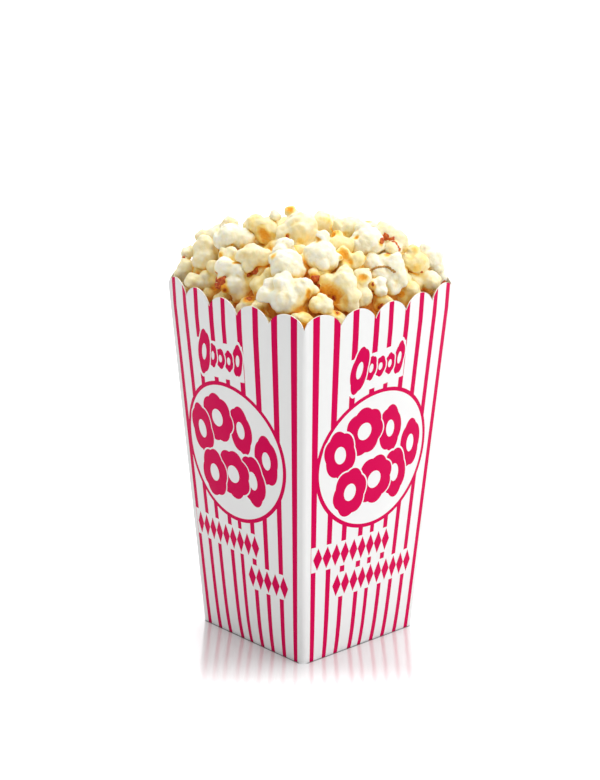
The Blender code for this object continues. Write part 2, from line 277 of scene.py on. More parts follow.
def noise_value(tree, size, detail=3.0, roughness=0.55):
    """Noise over Object coordinates, whose cells are about size metres across."""
    place = source(tree, 'TexCoord').Object
    node = tree.nodes.new('ShaderNodeTexNoise')
    feed_named(node.inputs, Vector=place, Scale=1 / size, Detail=detail, Roughness=roughness)
    return Wire(node.outputs['Fac'])


def bump(height, depth, **under):
    """A bump of a depth in metres. Another bump may lie under it."""
    node = height.tree.nodes.new('ShaderNodeBump')
    feed_named(node.inputs, Height=height, Distance=depth, **under)
    return wires(node).Normal


def new_material(name):
    """A material with the inputs of its Principled shader, ready to be fed."""
    material = bpy.data.materials.new(name)
    material.use_nodes = True
    return material, material.node_tree, material.node_tree.nodes['Principled BSDF'].inputs


def new_group(name, inputs, outputs):
    """A group of nodes, its sockets named in two strings. Gives its tree, its wires in and its results."""
    tree = bpy.data.node_groups.new(name, 'ShaderNodeTree')
    for direction, labels in (('INPUT', inputs), ('OUTPUT', outputs)):
        for label in labels.split():
            tree.interface.new_socket(label.replace('_', ' '), in_out=direction,
                                      socket_type='NodeSocketFloat')
    return tree, wires(tree.nodes.new('NodeGroupInput')), tree.nodes.new('NodeGroupOutput').inputs


def use_group(tree, group, **values):
    """Place a group in a tree, with numbers or wires for its inputs."""
    node = tree.nodes.new('ShaderNodeGroup')
    node.node_tree = group
    feed_named(node.inputs, **values)
    return wires(node)


# %% [markdown]
# ## The board of the carton
#
# A carton like this is die-cut flat, printed, folded and glued. The same steps make it here: a flat grid
# is the blank, each of its columns is moved to its place round the carton, and the top row follows the
# scallops. The print needs to know where on the blank a point was, so the UV map "blank" keeps that:
# across is counted in walls from 0 to 4, and up is the height over the rim's height. Solidify then gives
# the open sheet its thickness, with raw board on the inside and along the cut edge.

# %% Walls that lean and bow
def rim_part(height):
    return min(max(height / RIM_HEIGHT, 0.0), 1.0)


def half_width(height):
    return (FOOT_WIDTH + (RIM_WIDTH - FOOT_WIDTH) * rim_part(height)) / 2


def bow(along, height):
    """How far a wall stands out, at a part of its width from fold to fold."""
    part = rim_part(height)
    middle = FOOT_BOW * (1 - math.exp(-part * RIM_HEIGHT / FOOT_BOW_LENGTH)) + RIM_BOW * part
    return middle * 4 * along * (1 - along)


def wall_out(sideways, height):
    """How far out a wall's outer face is, at a distance sideways from its middle."""
    flat = half_width(height) - FOLD_RADIUS
    along = min(max((sideways / flat + 1) / 2, 0.0), 1.0)
    return half_width(height) + bow(along, height)


# %% Columns of the blank
SCALLOP_STEPS = 14
FOLD_STEPS = 8


def edge_arc():
    """Distance between two notches of the scalloped edge, and the radius of its arcs."""
    pitch = RIM_WIDTH / SCALLOPS
    return pitch, (pitch * pitch / 4 + SCALLOP_RISE ** 2) / (2 * SCALLOP_RISE)


def edge_rise(across):
    """How far the edge stands over its notches. Across a blank's wall goes from 0 to 1."""
    pitch, arc_radius = edge_arc()
    from_middle = (across * SCALLOPS % 1 - 0.5) * pitch
    return SCALLOP_RISE - arc_radius + math.sqrt(arc_radius ** 2 - from_middle ** 2)


def flat_columns():
    """Places on the flat of a wall, from 0 to 1, closer together where the edge turns fast."""
    pitch, arc_radius = edge_arc()
    half_angle = math.asin(pitch / 2 / arc_radius)
    fold_share = FOLD_RADIUS / RIM_WIDTH
    yield 0.0
    for scallop in range(SCALLOPS):
        for step in range(SCALLOP_STEPS):
            angle = half_angle * (2 * step / SCALLOP_STEPS - 1)
            across = (scallop + 0.5 + math.sin(angle) * arc_radius / pitch) / SCALLOPS
            if fold_share < across < 1 - fold_share:
                yield (across - fold_share) / (1 - 2 * fold_share)


def blank_columns():
    """Each column of the blank: its wall, its place on the flat, and its angle on the fold."""
    for wall in range(4):
        for along in flat_columns():
            yield wall, along, 0.0
        for step in range(FOLD_STEPS):
            yield wall, 1.0, math.pi / 2 * step / FOLD_STEPS


def folded(wall, along, angle, height):
    """The point of the carton's outer face where a column of the blank ends up."""
    flat = half_width(height) - FOLD_RADIUS
    sideways = (2 * along - 1) * flat + FOLD_RADIUS * math.sin(angle)
    out = flat + FOLD_RADIUS * math.cos(angle) + bow(along, height)
    return Matrix.Rotation(wall * math.pi / 2, 3, 'Z') @ Vector((sideways, -out, height))


def blank_across(wall, along, angle):
    """Where a column is across the flat print, in walls. Folds share it between two walls."""
    edge = FOLD_RADIUS / (RIM_WIDTH / 2)
    sideways = (2 * along - 1) * (1 - edge) + edge * angle / (math.pi / 4)
    return wall + (sideways + 1) / 2


# %% Roll the blank into a carton
LOW_ROWS = [0.0, 0.012, 0.025, 0.04, 0.06, 0.085, 0.12]     # closer together where the wall starts to bow
HIGH_ROWS = 22
SHARP_FOLD = math.radians(38)
WALL_ROWS = LOW_ROWS + [LOW_ROWS[-1] + (1 - LOW_ROWS[-1]) * (step + 1) / HIGH_ROWS
                        for step in range(HIGH_ROWS)]
columns = list(blank_columns())
rows = len(WALL_ROWS) - 1

bm = bmesh.new()
bmesh.ops.create_grid(bm, x_segments=len(columns), y_segments=rows, size=1.0)
blank = {}
for vert in bm.verts:
    column = round((vert.co.x + 1) / 2 * len(columns))
    row = round((vert.co.y + 1) / 2 * rows)
    wall, along, angle = columns[column % len(columns)]
    height = RIM_HEIGHT * WALL_ROWS[row]
    vert.co = folded(wall, along, angle, height)
    across = blank_across(wall, along, angle)
    if row == rows:
        vert.co.z += edge_rise(across)
    turns = 4 if column == len(columns) else 0
    blank[vert] = (turns + across, vert.co.z / RIM_HEIGHT)
print("the blank has", len(columns), "columns and", rows, "rows")

# %% [markdown]
# The last column lies on the first one, and welding the two closes the sleeve. The foot is filled with
# one face. A corner of a face keeps its own UV when its point is welded, so the map stays right on both
# sides of the seam.

# %% Keep the print's map, close the seam and the foot
blank_map = bm.loops.layers.uv.new("blank")
for face in bm.faces:
    for loop in face.loops:
        across, up = blank[loop.vert]
        loop[blank_map].uv = (across / 4, up)
bmesh.ops.remove_doubles(bm, verts=bm.verts, dist=0.00001)
foot_edges = [edge for edge in bm.edges if edge.is_boundary and max(v.co.z for v in edge.verts) < BOARD]
bmesh.ops.edgeloop_fill(bm, edges=foot_edges, mat_nr=1)
bmesh.ops.recalc_face_normals(bm, faces=bm.faces)
for face in bm.faces:
    face.smooth = True
carton = linked_object("printed_carton", mesh_from(bm, "printed_carton"))
add_modifier(carton, 'SOLIDIFY', thickness=BOARD, offset=-1.0, use_even_offset=True, material_offset=1,
             material_offset_rim=1)
for name in ("printed", "raw", "raw_again"):
    carton.data.materials.append(bpy.data.materials.new(name))
apply_modifiers(carton)
carton.data.set_sharp_from_angle(angle=SHARP_FOLD)

# %% [markdown]
# ## The print
#
# Nine stripes run up each wall and fan out with its taper. They stop at a round field with a ring, and at
# three cleared strips. These fields hold plain shapes: puffs, which are circles with a wavy edge and a
# hole, and lozenges. All of it is arithmetic on the blank's map, first turned into metres across and up
# a wall, so that circles stay round on the tapering board.

# %% Shapes that the print uses
PUFF_EDGE, PUFF_WAVE, PUFF_HOLE = 0.92, 0.10, 0.36      # in radii
CLEAR_RIM = 0.0008


def puff_group():
    """A popped kernel, drawn simply: a wavy disc with a hole, and the clear rim that parts it from others."""
    tree, given, result = new_group("puff", "x y middle_x middle_y radius tall slant lobes turn", "ink cover")
    y = (given.y - given.middle_y) / given.tall
    x = given.x - given.middle_x - y * given.slant
    reach = length(x, y)
    half_waves = (calc('ARCTAN2', y, x) + given.turn) * (given.lobes / 2)
    edge = given.radius * (abs(calc('COSINE', half_waves)) * PUFF_WAVE + PUFF_EDGE)
    feed_named(result, ink=(reach < edge) * (reach > given.radius * PUFF_HOLE),
               cover=reach < edge + CLEAR_RIM)
    return tree


def field_group():
    """1 inside a rectangle that is tilted about its middle."""
    tree, given, result = new_group("field", "x y middle_x middle_y half_width half_height slope", "inside")
    x = given.x - given.middle_x
    level = given.y - given.middle_y - x * given.slope
    feed_named(result, inside=(abs(x) < given.half_width) * (abs(level) < given.half_height))
    return tree


def lozenge_group():
    """1 inside a row of lozenges that starts at a place, at a pitch."""
    tree, given, result = new_group("lozenges", "x y start middle_y pitch half_width half_height", "ink")
    sideways = abs(calc('FRACT', (given.x - given.start) / given.pitch) - 0.5) * given.pitch
    reach = sideways / given.half_width + abs(given.y - given.middle_y) / given.half_height
    feed_named(result, ink=reach < 1.0)
    return tree


# %% Where the print puts them, in metres on a wall
STRIPES = (0.066, 0.175, 0.282, 0.405, 0.498, 0.610, 0.715, 0.827, 0.937)    # parts of a wall's width
STRIPE_WIDTH = 0.034
RING_X, RING_Y, RING_RADIUS, RING_LINE = -0.0021, 0.1164, 0.0400, 0.0023
PUFFS = (       # across and up from the ring's middle, half width, how tall, slant, lobes, turn
    (0.0092, 0.0155, 0.0088, 1.60, -0.12, 5, 1.2), (-0.0102, 0.0180, 0.0134, 1.05, 0.0, 7, 0.1),
    (-0.0258, 0.0070, 0.0104, 1.40, -0.15, 6, 0.3), (0.0275, 0.0020, 0.0084, 1.75, -0.05, 5, 0.9),
    (0.0160, -0.0128, 0.0094, 1.60, -0.12, 5, 0.2), (0.0002, -0.0130, 0.0136, 1.05, 0.0, 7, 0.5),
    (-0.0170, -0.0168, 0.0114, 1.25, 0.0, 6, 0.8),
)
TOP_FIELD = {"middle_x": -0.0070, "middle_y": 0.1700, "half_width": 0.0205, "half_height": 0.0105,
             "slope": 0.10}
TOP_PUFFS = (
    (0.0092, 0.0032, 0.0040, 2.40, 0.25, 5, 0.9), (0.0020, 0.0014, 0.0037, 1.70, 0.10, 6, 0.4),
    (-0.0050, 0.0012, 0.0039, 1.55, 0.10, 5, 1.3), (-0.0116, 0.0014, 0.0038, 1.90, 0.20, 6, 0.2),
    (-0.0196, 0.0016, 0.0058, 2.35, 0.35, 5, 0.6),
)
STRIP_HALF_HEIGHT = 0.0077
LOZENGE_PITCH, LOZENGE_HALF_WIDTH, LOZENGE_HALF_HEIGHT = 0.0062, 0.0030, 0.0068
LONG_STRIP = (0.054, 0.672, 0.0631)           # from, to, as parts of the wall's width, and height
SHORT_STRIP = (0.540, 0.893, 0.0439)
WIDE_STRIP = (0.205, 0.900, 0.0439)
FOLD_WEAR = 0.0035

# %% [markdown]
# One group draws the whole print. Its first lines turn the map into a wall's number and metres on the
# wall. Stripes are a colour ramp with hard steps, because one node then does the work of nine.

# %% The print as one group
def stripe_ramp(along):
    """1 on the stripes. Each stripe is one stop to the ink and one back."""
    node = along.tree.nodes.new('ShaderNodeValToRGB')
    node.color_ramp.interpolation = 'CONSTANT'
    stops = node.color_ramp.elements
    stops[0].color = (0, 0, 0, 1)
    stops[1].position = STRIPES[0] - STRIPE_WIDTH / 2
    stops[1].color = (1, 1, 1, 1)
    for middle in STRIPES:
        if middle != STRIPES[0]:
            stops.new(middle - STRIPE_WIDTH / 2).color = (1, 1, 1, 1)
        stops.new(middle + STRIPE_WIDTH / 2).color = (0, 0, 0, 1)
    feed_named(node.inputs, Fac=along)
    return wires(node).Color


def strip_and_lozenges(field, lozenges, along, x, y, strip):
    """A cleared strip between two parts of the wall, and the lozenges in it."""
    start, end, height = strip
    cleared = (along > start) * (along < end) * (abs(y - height) < STRIP_HALF_HEIGHT)
    wall_width = 2 * half_width(height)
    row_length = math.floor((end - start) * wall_width / LOZENGE_PITCH) * LOZENGE_PITCH
    first = (start - 0.5) * wall_width + ((end - start) * wall_width - row_length) / 2
    row = use_group(x.tree, lozenges, x=x, y=y, start=first, middle_y=height, pitch=LOZENGE_PITCH,
                    half_width=LOZENGE_HALF_WIDTH, half_height=LOZENGE_HALF_HEIGHT)
    within = use_group(x.tree, field, x=x, y=y, middle_x=first + row_length / 2, middle_y=height,
                       half_width=row_length / 2, half_height=STRIP_HALF_HEIGHT)
    return cleared, row.ink * within.inside


def draw_puffs(puff, x, y, puffs, ink):
    """Lay puffs over an inked drawing one by one, each with its clear rim."""
    for middle_x, middle_y, radius, tall, slant, lobes, turn in puffs:
        drawn = use_group(x.tree, puff, x=x, y=y, middle_x=middle_x, middle_y=middle_y, radius=radius,
                          tall=tall, slant=slant, lobes=lobes, turn=turn)
        ink = calc('MAXIMUM', ink * (1.0 - drawn.cover), drawn.ink)
    return ink


def print_group():
    puff, field, lozenges = puff_group(), field_group(), lozenge_group()
    tree, _, result = new_group("carton print", "", "ink near_fold")
    round_carton, up, _ = split(source(tree, 'UVMap', uv_map="blank").UV, 'XYZ')
    across = round_carton * 4.0
    along = calc('FRACT', across)
    odd_wall = calc('FRACT', across / 2.0) > 0.5
    y = up * RIM_HEIGHT
    width = up * (RIM_WIDTH - FOOT_WIDTH) + FOOT_WIDTH
    from_middle = along - 0.5
    x = from_middle * width

    ring_x, ring_y = x - RING_X, y - RING_Y
    from_ring = length(ring_x, ring_y) - RING_RADIUS
    ink = draw_puffs(puff, ring_x, ring_y, PUFFS, abs(from_ring) < RING_LINE / 2)
    cleared = calc('MAXIMUM', from_ring < 0.0, use_group(tree, field, x=x, y=y, **TOP_FIELD).inside)
    for strip, walls in ((LONG_STRIP, 1.0), (SHORT_STRIP, 1.0 - odd_wall), (WIDE_STRIP, odd_wall)):
        inside, drawn = strip_and_lozenges(field, lozenges, along, x, y, strip)
        cleared = calc('MAXIMUM', cleared, inside * walls)
        ink = calc('MAXIMUM', ink, drawn * walls)
    ink = calc('MAXIMUM', ink, stripe_ramp(along) * (1.0 - cleared))
    ink = draw_puffs(puff, x, y - TOP_FIELD["middle_y"], TOP_PUFFS, ink)
    to_fold = (0.5 - abs(from_middle)) * width
    feed_named(result, ink=ink, near_fold=ramp_value(to_fold, FOLD_WEAR, 0.0))
    return tree


# %% [markdown]
# ## Board as a material
#
# Carton board is a matte, faintly fibrous sheet. Its grain is a bump less than a tenth of a millimetre
# deep, and a much wider one gives the slight waviness that a sheet of board always has. Both sides share
# the grain, so it is a group. The inside and the cut edge are unprinted and a little warmer.

# %% Board grain and the carton's materials
BOARD_WHITE, BOARD_SHADED = (0.80, 0.805, 0.80), (0.76, 0.75, 0.74)
RAW_WHITE, RAW_SHADED = (0.78, 0.75, 0.68), (0.70, 0.66, 0.58)
INK, INK_DARK, INK_WORN = (0.61, 0.0002, 0.078), (0.54, 0.0001, 0.064), (0.70, 0.06, 0.16)
FIBRE_SIZE, FIBRE_DEPTH, RAW_FIBRE_DEPTH = 0.0006, 0.00004, 0.00008
CLOUD_SIZE = 0.012
SHEET_WAVES, SHEET_WAVE_DEPTH = 0.030, 0.0006
WEAR_SIZE, WEAR = 0.0016, 0.7


def board_grain_group():
    tree, _, result = new_group("board grain", "", "shade height")
    fibres = noise_value(tree, FIBRE_SIZE, detail=4.0, roughness=0.7)
    clouds = noise_value(tree, CLOUD_SIZE, detail=2.0)
    feed_named(result, height=fibres, shade=clouds * 0.6 + fibres * 0.4)
    return tree


def printed_board(grain_group):
    material, tree, finish = new_material("printed board")
    drawn, grain = use_group(tree, print_group()), use_group(tree, grain_group)
    patchy = ramp_value(noise_value(tree, WEAR_SIZE, detail=5.0, roughness=0.75), 0.15, 0.85)
    paper = blend_colour(grain.shade * 0.25, BOARD_WHITE, BOARD_SHADED)
    ink = blend_colour(drawn.near_fold * (patchy * WEAR), INK, INK_WORN)
    ink = blend_colour(grain.shade * 0.3, ink, INK_DARK)
    wavy = bump(noise_value(tree, SHEET_WAVES, detail=1.0), SHEET_WAVE_DEPTH)
    feed_named(finish, Base_Color=blend_colour(drawn.ink, paper, ink), Roughness=0.50 - drawn.ink * 0.06,
               Specular_IOR_Level=0.03, Normal=bump(grain.height, FIBRE_DEPTH, Normal=wavy))
    return material


def raw_board(grain_group):
    material, tree, finish = new_material("raw board")
    grain = use_group(tree, grain_group)
    feed_named(finish, Base_Color=blend_colour(grain.shade, RAW_WHITE, RAW_SHADED), Roughness=0.75,
               Normal=bump(grain.height, RAW_FIBRE_DEPTH))
    return material


board_grain = board_grain_group()
raw = raw_board(board_grain)
for place, material in enumerate((printed_board(board_grain), raw, raw)):
    carton.data.materials[place] = material
dress(carton, "carton")

# %% [markdown]
# ## Where the kernels lie
#
# Popcorn in a box settles with its big kernels wherever they fell, so no pattern may show. The kernels
# that catch the eye in the picture are listed one by one. The others line the walls and then fill every
# gap that is wide enough, by a rule with seeded draws. It is the rule by which the imported heap was made,
# so each kernel here stands where its solid does.

# %% The heap's rule
HEAP_EDGE = 0.002
HEAP_CROWN = 0.031
HEAP_SQUARENESS = 8
HEAP_SHOULDER = 4
FALL_BACK = 6.0        # share of the crown that is lost a metre, going away from the viewer
FALL_RIGHT = 2.5
VIEW_TURN = math.radians(47.67)      # listed kernels are laid out as seen over the front fold
LOOK_DOWN = math.radians(17.72)
SEEN_GROWTH = 1.07
SEEN_KERNELS = (
    # middle (right, away, up), then lobes (right, up, toward, radius), in mm, as seen over the front fold
    ((-13, -44, 25), ((0, 0, 0, 8.6), (-1.5, 2.6, .3, 6.8), (2.2, -1.6, .3, 7), (1.4, 2.8, 0, 6.6))),
    ((-12, -56, 14), ((-1.3, -2.7, 0, 8.8), (-3.2, 4.9, 0, 6), (6.5, 1.6, .5, 6.4), (-12, -.7, -1, 4.6),
                      (-10.4, 4.9, -1.5, 3.2), (12.9, 1.6, -.5, 3.4), (6.5, -9, -2, 4.8))),
    ((-9, -10, 36), ((3.2, .5, 0, 9.2), (-4.5, -2.4, .5, 6.2), (-7, -6.5, 1, 4.2), (-10.8, 7.8, -2, 2.9),
                     (-1.8, 10.8, -3, 2.6), (.8, -9.4, 2, 4.9), (6.4, -9.2, 2, 4.6))),
    ((6, -4, 37), ((0, 1.5, 0, 5.2), (5.5, -2.5, 0, 3.6), (-4, -1, 0, 5.2))),
    ((5, -38, 30), ((0, -.5, 0, 8.3), (3.5, -2.5, .5, 6), (-3, .5, 0, 6.3), (1, 9.5, -.5, 3.9),
                    (9, -1, -1, 2.4))),
    ((21, -8, 36), ((1, 1.6, 0, 5.8), (-3.2, -2.2, .5, 4.6), (-6, 2, 0, 3.8))),
    ((29, -17, 32), ((1, .5, 0, 7.9), (-3.6, -2.7, .5, 5.8), (4.7, -1.6, .5, 5.9), (-.5, 6.2, -1, 4.5))),
    ((20, -34, 26), ((-3, 3.2, 0, 4), (1, -.5, -.5, 4.4), (5.2, 1, 0, 4), (-2, -3.8, .5, 3.8))),
    ((16, -50, 14), ((-7.2, 3.8, 0, 5), (1.5, 3.8, .5, 6.6), (4.9, -2.7, 1, 5.2), (2, 8.6, -1, 4.6),
                     (6, -8.6, .5, 3.9), (-3.2, -2.7, -1.5, 5.6), (1.6, -6.5, -1, 4.6),
                     (-14.6, 9.2, -1, 2.9))),
    ((5, -61, 9), ((-2.2, .5, .5, 4.1), (2.5, -.5, 0, 4.2), (.5, 3.2, -1, 3.1))),
    ((-5, -66, 2), ((0, 0, 0, 4.2), (2.5, 1, 0, 3.2), (-3, 1, 0, 3.2))),
    ((42, -12, 29), ((2.2, -2.2, 1.5, 4.6), (-1, 6, -2, 6), (-4.3, 0, 0, 3.8), (6, 2.7, -2, 4.7))),
    ((41, -26, 17), ((-7.3, 4.9, 0, 5.4), (3.6, 3.8, 0, 6.2), (6.5, -2.2, 0, 5), (3, -7, .5, 5.3),
                     (-3.2, -.5, .5, 5.8), (-.5, 6, -1, 4.7))),
    ((27, -41, 15), ((.5, 3.8, 0, 4.8), (0, -6.5, -.5, 5.7), (-3.8, -1.6, 0, 4.2))),
    ((35, -35, 12), ((-1.4, 1, .5, 2.9), (2.4, 2.2, 0, 3), (2.7, -2.4, .5, 3.5))),
    ((56, -9, 19), ((2.5, -1.6, 0, 6), (0, 4.9, -1, 3.7), (-3.2, 0, 1, 4.1))),
    ((67, 3, 17), ((.5, 1, 0, 6.7), (2.7, -4.9, 0, 4.7), (-2.7, 3.8, 0, 4.6))),
    ((59, -11, 8), ((-3, -.5, 0, 6.1), (7, .5, 0, 5.1), (1.6, 3.8, .5, 3.6))),
    ((53, -20, 4), ((1.5, 1, 0, 5.2), (-3.2, -4.3, 0, 4.4), (-4.5, 1, 0, 3.4))),
    ((38, -35, 4), ((0, 0, 0, 4.2), (-2, -3, -1, 3.7), (3.5, -1, 0, 3.4))),
    ((-58, -2, 20), ((.2, -2, .5, 7.1), (-.5, 3.2, 0, 6.4), (6, -3.2, -1.5, 4.7))),
    ((-68, 6, 18), ((0, 0, 0, 3.2), (-1, -3, -1, 2.7), (2, 1.5, -1, 3))),
    ((-54, 5, 27), ((-5.7, .5, 0, 4.1), (1, 1, 0, 5.6), (3.5, 4.9, -1, 3), (3.2, -4.3, 0, 4.7))),
    ((-45, 7, 35), ((0, .5, 0, 3.4), (2, -1, 0, 3.2), (-2, -2, 0, 3.4))),
    ((-42, -8, 31), ((-2.2, 1, 0, 6.5), (4.6, -.5, 0, 5.9), (-6, -1.6, -1, 5.2))),
    ((-44, -17, 24), ((.8, 1, 1, 3.4), (-.5, -2.2, 0, 4.5), (-3, 0, -1, 3.5))),
    ((-26, -7, 35), ((-4.3, 4, 0, 5.3), (1.6, 0, -.5, 7.1), (4.9, -4.9, 0, 4.7))),
    ((-31, -27, 26), ((-.5, .2, 0, 6.4), (-5.7, 0, 0, 4.2), (5.4, -1, 0, 4.3), (-3.2, -5.4, 1.5, 3.4))),
    ((-38, -28, 13), ((-8.9, 7, 0, 5.3), (-1.6, 4.9, .5, 5.7), (-2.2, -2.4, 1, 6.6), (.5, -7.6, .5, 5.3),
                      (10.3, 3.8, 0, 5.4), (6.5, -.5, 1.5, 4.2), (6.5, -4.3, 0, 4.9), (-8.1, -3.8, 1.5, 3.2),
                      (-10.8, -1, 1.5, 3.3))),
    ((-56, -11, 8), ((0, 1, .5, 4.6), (-9.2, -1, 0, 4.4), (1.6, -2.7, 1, 3.6), (-4.3, -1.6, 0, 3.9))),
    ((-69, 2, 11), ((.5, 0, 0, 4.9), (-2.4, 0, 0, 2.6), (-1, -4.5, 0, 3.2))),
    ((-55, -15, 1), ((0, 0, 0, 4), (3, 1.5, -1, 3.4))),
    ((-46, -24, 2), ((0, 0, 0, 4), (-3.5, -2, 0, 3.6), (3.5, 1, 0, 3.5))),
    ((-33, -39, 2), ((-.5, 0, 0, 5.1), (4.9, 2.2, -1, 3.8), (-4, -2, 0, 3.8))),
)
WALL_LINES = ((0.001, 0.001), (0.005, 0.013))
RIM_SPACING = 0.0140
RIM_RADIUS = (0.0075, 0.0095)
RIM_WANDER = 0.0018
RIM_STAGGER = (0.1, 0.9)
CROWN_SPACING = 0.0045
CROWN_RADIUS = (0.0080, 0.0110)
CROWN_WANDER = 0.0025
ELBOW_ROOM = 0.62
SEEN_ROOM = 0.86
WALL_ROOM = 0.7
MIDDLE_LOBE = (0.62, 0.78)
SIDE_LOBE = (0.40, 0.64)
LOBE_REACH = (0.42, 0.62)
LOBE_SPACING = 0.0030
GOLDEN_ANGLE, ANGLE_WANDER = math.pi * (3 - math.sqrt(5)), 0.4
SEED = 11
KERNEL_DRAWS, PUFF_DRAWS, POCKET_DRAWS = 1000, 2000, 4000      # keep the seeds of three steps apart


def heap_rise(x, y):
    """Height of the kernels' middles over the notches, at a place in the heap."""
    reach = RIM_WIDTH / 2
    out = (abs(x / reach) ** HEAP_SQUARENESS + abs(y / reach) ** HEAP_SQUARENESS) ** (1 / HEAP_SQUARENESS)
    right = x * math.cos(VIEW_TURN) + y * math.sin(VIEW_TURN)
    away = y * math.cos(VIEW_TURN) - x * math.sin(VIEW_TURN)
    crown = HEAP_CROWN * (1 - FALL_BACK * max(away, 0.0) - FALL_RIGHT * max(right, 0.0))
    return HEAP_EDGE + crown * (1 - min(out, 1.0) ** HEAP_SHOULDER)


def held_inside(centre, radius):
    """Move a ball's centre in until the ball is clear of the walls."""
    low = centre.z - radius
    moved = centre.copy()
    for axis in (0, 1):
        sideways = abs(centre[1 - axis]) + radius / 2
        room = wall_out(sideways, low) - BOARD - GAP - radius
        moved[axis] = min(max(centre[axis], -room), room)
    return moved


def kept_inside(balls):
    return [(held_inside(place, size), size) for place, size in balls]


# %% Lobes of every kernel
def seen_kernel(middle, lobes):
    """A listed kernel: its lobes are moved in the plane that faces the camera."""
    turn = Matrix.Rotation(VIEW_TURN, 3, 'Z')
    rise, run = math.sin(LOOK_DOWN), math.cos(LOOK_DOWN)
    balls = []
    for right, up, toward, radius in lobes:
        place = Vector(middle) + Vector((right, up * rise - toward * run, up * run + toward * rise))
        size = radius * SEEN_GROWTH * MILLIMETRE
        balls.append((turn @ place * MILLIMETRE + Vector((0, 0, RIM_HEIGHT)), size))
    return balls


def grown_kernel(number, centre, radius):
    """A kernel placed by the rule: a middle ball, and lobes round it spread by the golden angle."""
    draw = random.Random(SEED * KERNEL_DRAWS + number)
    balls = [(centre, radius * draw.uniform(*MIDDLE_LOBE))]
    count = 1 + round(radius / LOBE_SPACING)
    angle = draw.uniform(0, 2 * math.pi)
    for step in range(count):
        angle += GOLDEN_ANGLE + draw.uniform(-ANGLE_WANDER, ANGLE_WANDER)
        lift = 1 - (2 * step + 1) / count
        flat = math.sqrt(1 - lift * lift)
        way = Vector((flat * math.cos(angle), flat * math.sin(angle), lift))
        balls.append((centre + way * radius * draw.uniform(*LOBE_REACH), radius * draw.uniform(*SIDE_LOBE)))
    return balls


def is_free(place, radius, balls, room):
    return all((place - other).length > room * (radius + size) for other, size in balls)


def all_kernels():
    """Every kernel as a list of balls, each a place and a radius. The listed ones come first."""
    draw = random.Random(SEED)
    kernels = [seen_kernel(middle, lobes) for middle, lobes in SEEN_KERNELS]
    seen = [ball for balls in kernels for ball in balls]
    taken = []

    def grow_where_free(x, y, rise, radius):
        place = Vector((x, y, RIM_HEIGHT + rise))
        if is_free(place, radius, seen, SEEN_ROOM) and is_free(place, radius, taken, ELBOW_ROOM):
            kernels.append(grown_kernel(len(kernels), place, radius))
            taken.append((place, radius))

    for inset, rise in WALL_LINES:
        length = RIM_WIDTH - 2 * (inset + RIM_RADIUS[0])
        count = round(length / RIM_SPACING)
        for wall in range(4):
            quarter = Matrix.Rotation(wall * math.pi / 2, 3, 'Z')
            for step in range(count):
                radius = draw.uniform(*RIM_RADIUS)
                sideways = ((step + draw.uniform(*RIM_STAGGER)) / count - 0.5) * length
                wall_face = wall_out(sideways, RIM_HEIGHT) - BOARD - inset - radius
                spot = quarter @ Vector((sideways, -wall_face, 0))
                grow_where_free(spot.x, spot.y, rise + draw.uniform(-1, 1) * RIM_WANDER, radius)
    across_heap = math.ceil(RIM_WIDTH / CROWN_SPACING)
    for row in range(-across_heap, across_heap + 1):
        for step in range(-across_heap, across_heap + 1):
            x = (step + row % 2 / 2) * CROWN_SPACING + draw.uniform(-1, 1) * CROWN_WANDER
            y = row * CROWN_SPACING * math.sqrt(3) / 2 + draw.uniform(-1, 1) * CROWN_WANDER
            radius = draw.uniform(*CROWN_RADIUS)
            if max(abs(x), abs(y)) < RIM_WIDTH / 2 - radius * WALL_ROOM:
                grow_where_free(x, y, heap_rise(x, y) + draw.uniform(-1, 1) * CROWN_WANDER, radius)
    return [kept_inside(balls) for balls in kernels]


kernels = all_kernels()
print(len(kernels), "kernels,", len(SEEN_KERNELS), "of them placed by hand")


# %% Smaller kernels fill the gaps from below
FILL_SPACING = 0.0050
FILL_RADIUS = (0.0068, 0.0088)
FILL_DROP = 0.0085
FILL_ROOM = 0.48


def fill_between(kernels):
    draw = random.Random(SEED + 1)
    taken = [ball for balls in kernels for ball in balls]
    found = []
    across_heap = math.ceil(RIM_WIDTH / 2 / FILL_SPACING)
    for row in range(-across_heap, across_heap + 1):
        for step in range(-across_heap, across_heap + 1):
            x, y = step * FILL_SPACING, row * FILL_SPACING
            radius = draw.uniform(*FILL_RADIUS)
            if max(abs(x), abs(y)) > RIM_WIDTH / 2 - radius:
                continue
            place = Vector((x, y, RIM_HEIGHT + heap_rise(x, y) - FILL_DROP))
            if is_free(place, radius, taken, FILL_ROOM):
                found.append(kept_inside(grown_kernel(len(kernels) + len(found), place, radius)))
                taken.append((place, radius))
    return found


filling = fill_between(kernels)
print(len(filling), "smaller kernels fill the gaps")

# %% [markdown]
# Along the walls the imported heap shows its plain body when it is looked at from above. A row of broken
# pieces lies there, half sunk in the body, and so low that the rim hides it in the picture. A few single
# puffs are added that only the picture shows.

# %% Broken pieces along the walls, and single puffs
CRUMB_SPACING = 0.0056
CRUMB_RADIUS = (0.0042, 0.0060)
CRUMB_RISE = (-0.0045, 0.0)
CRUMB_ROOM = 0.62
TIP_PUFFS = ((2, (-1.2, 9.0, -3, 3.2)), (2, (-3.6, 10.2, -3, 2.4)), (30, (-3.4, -3.4, 0, 3.2)),
             (16, (5.2, -10.5, 0, 3.2)))     # kernel, and lobe as above


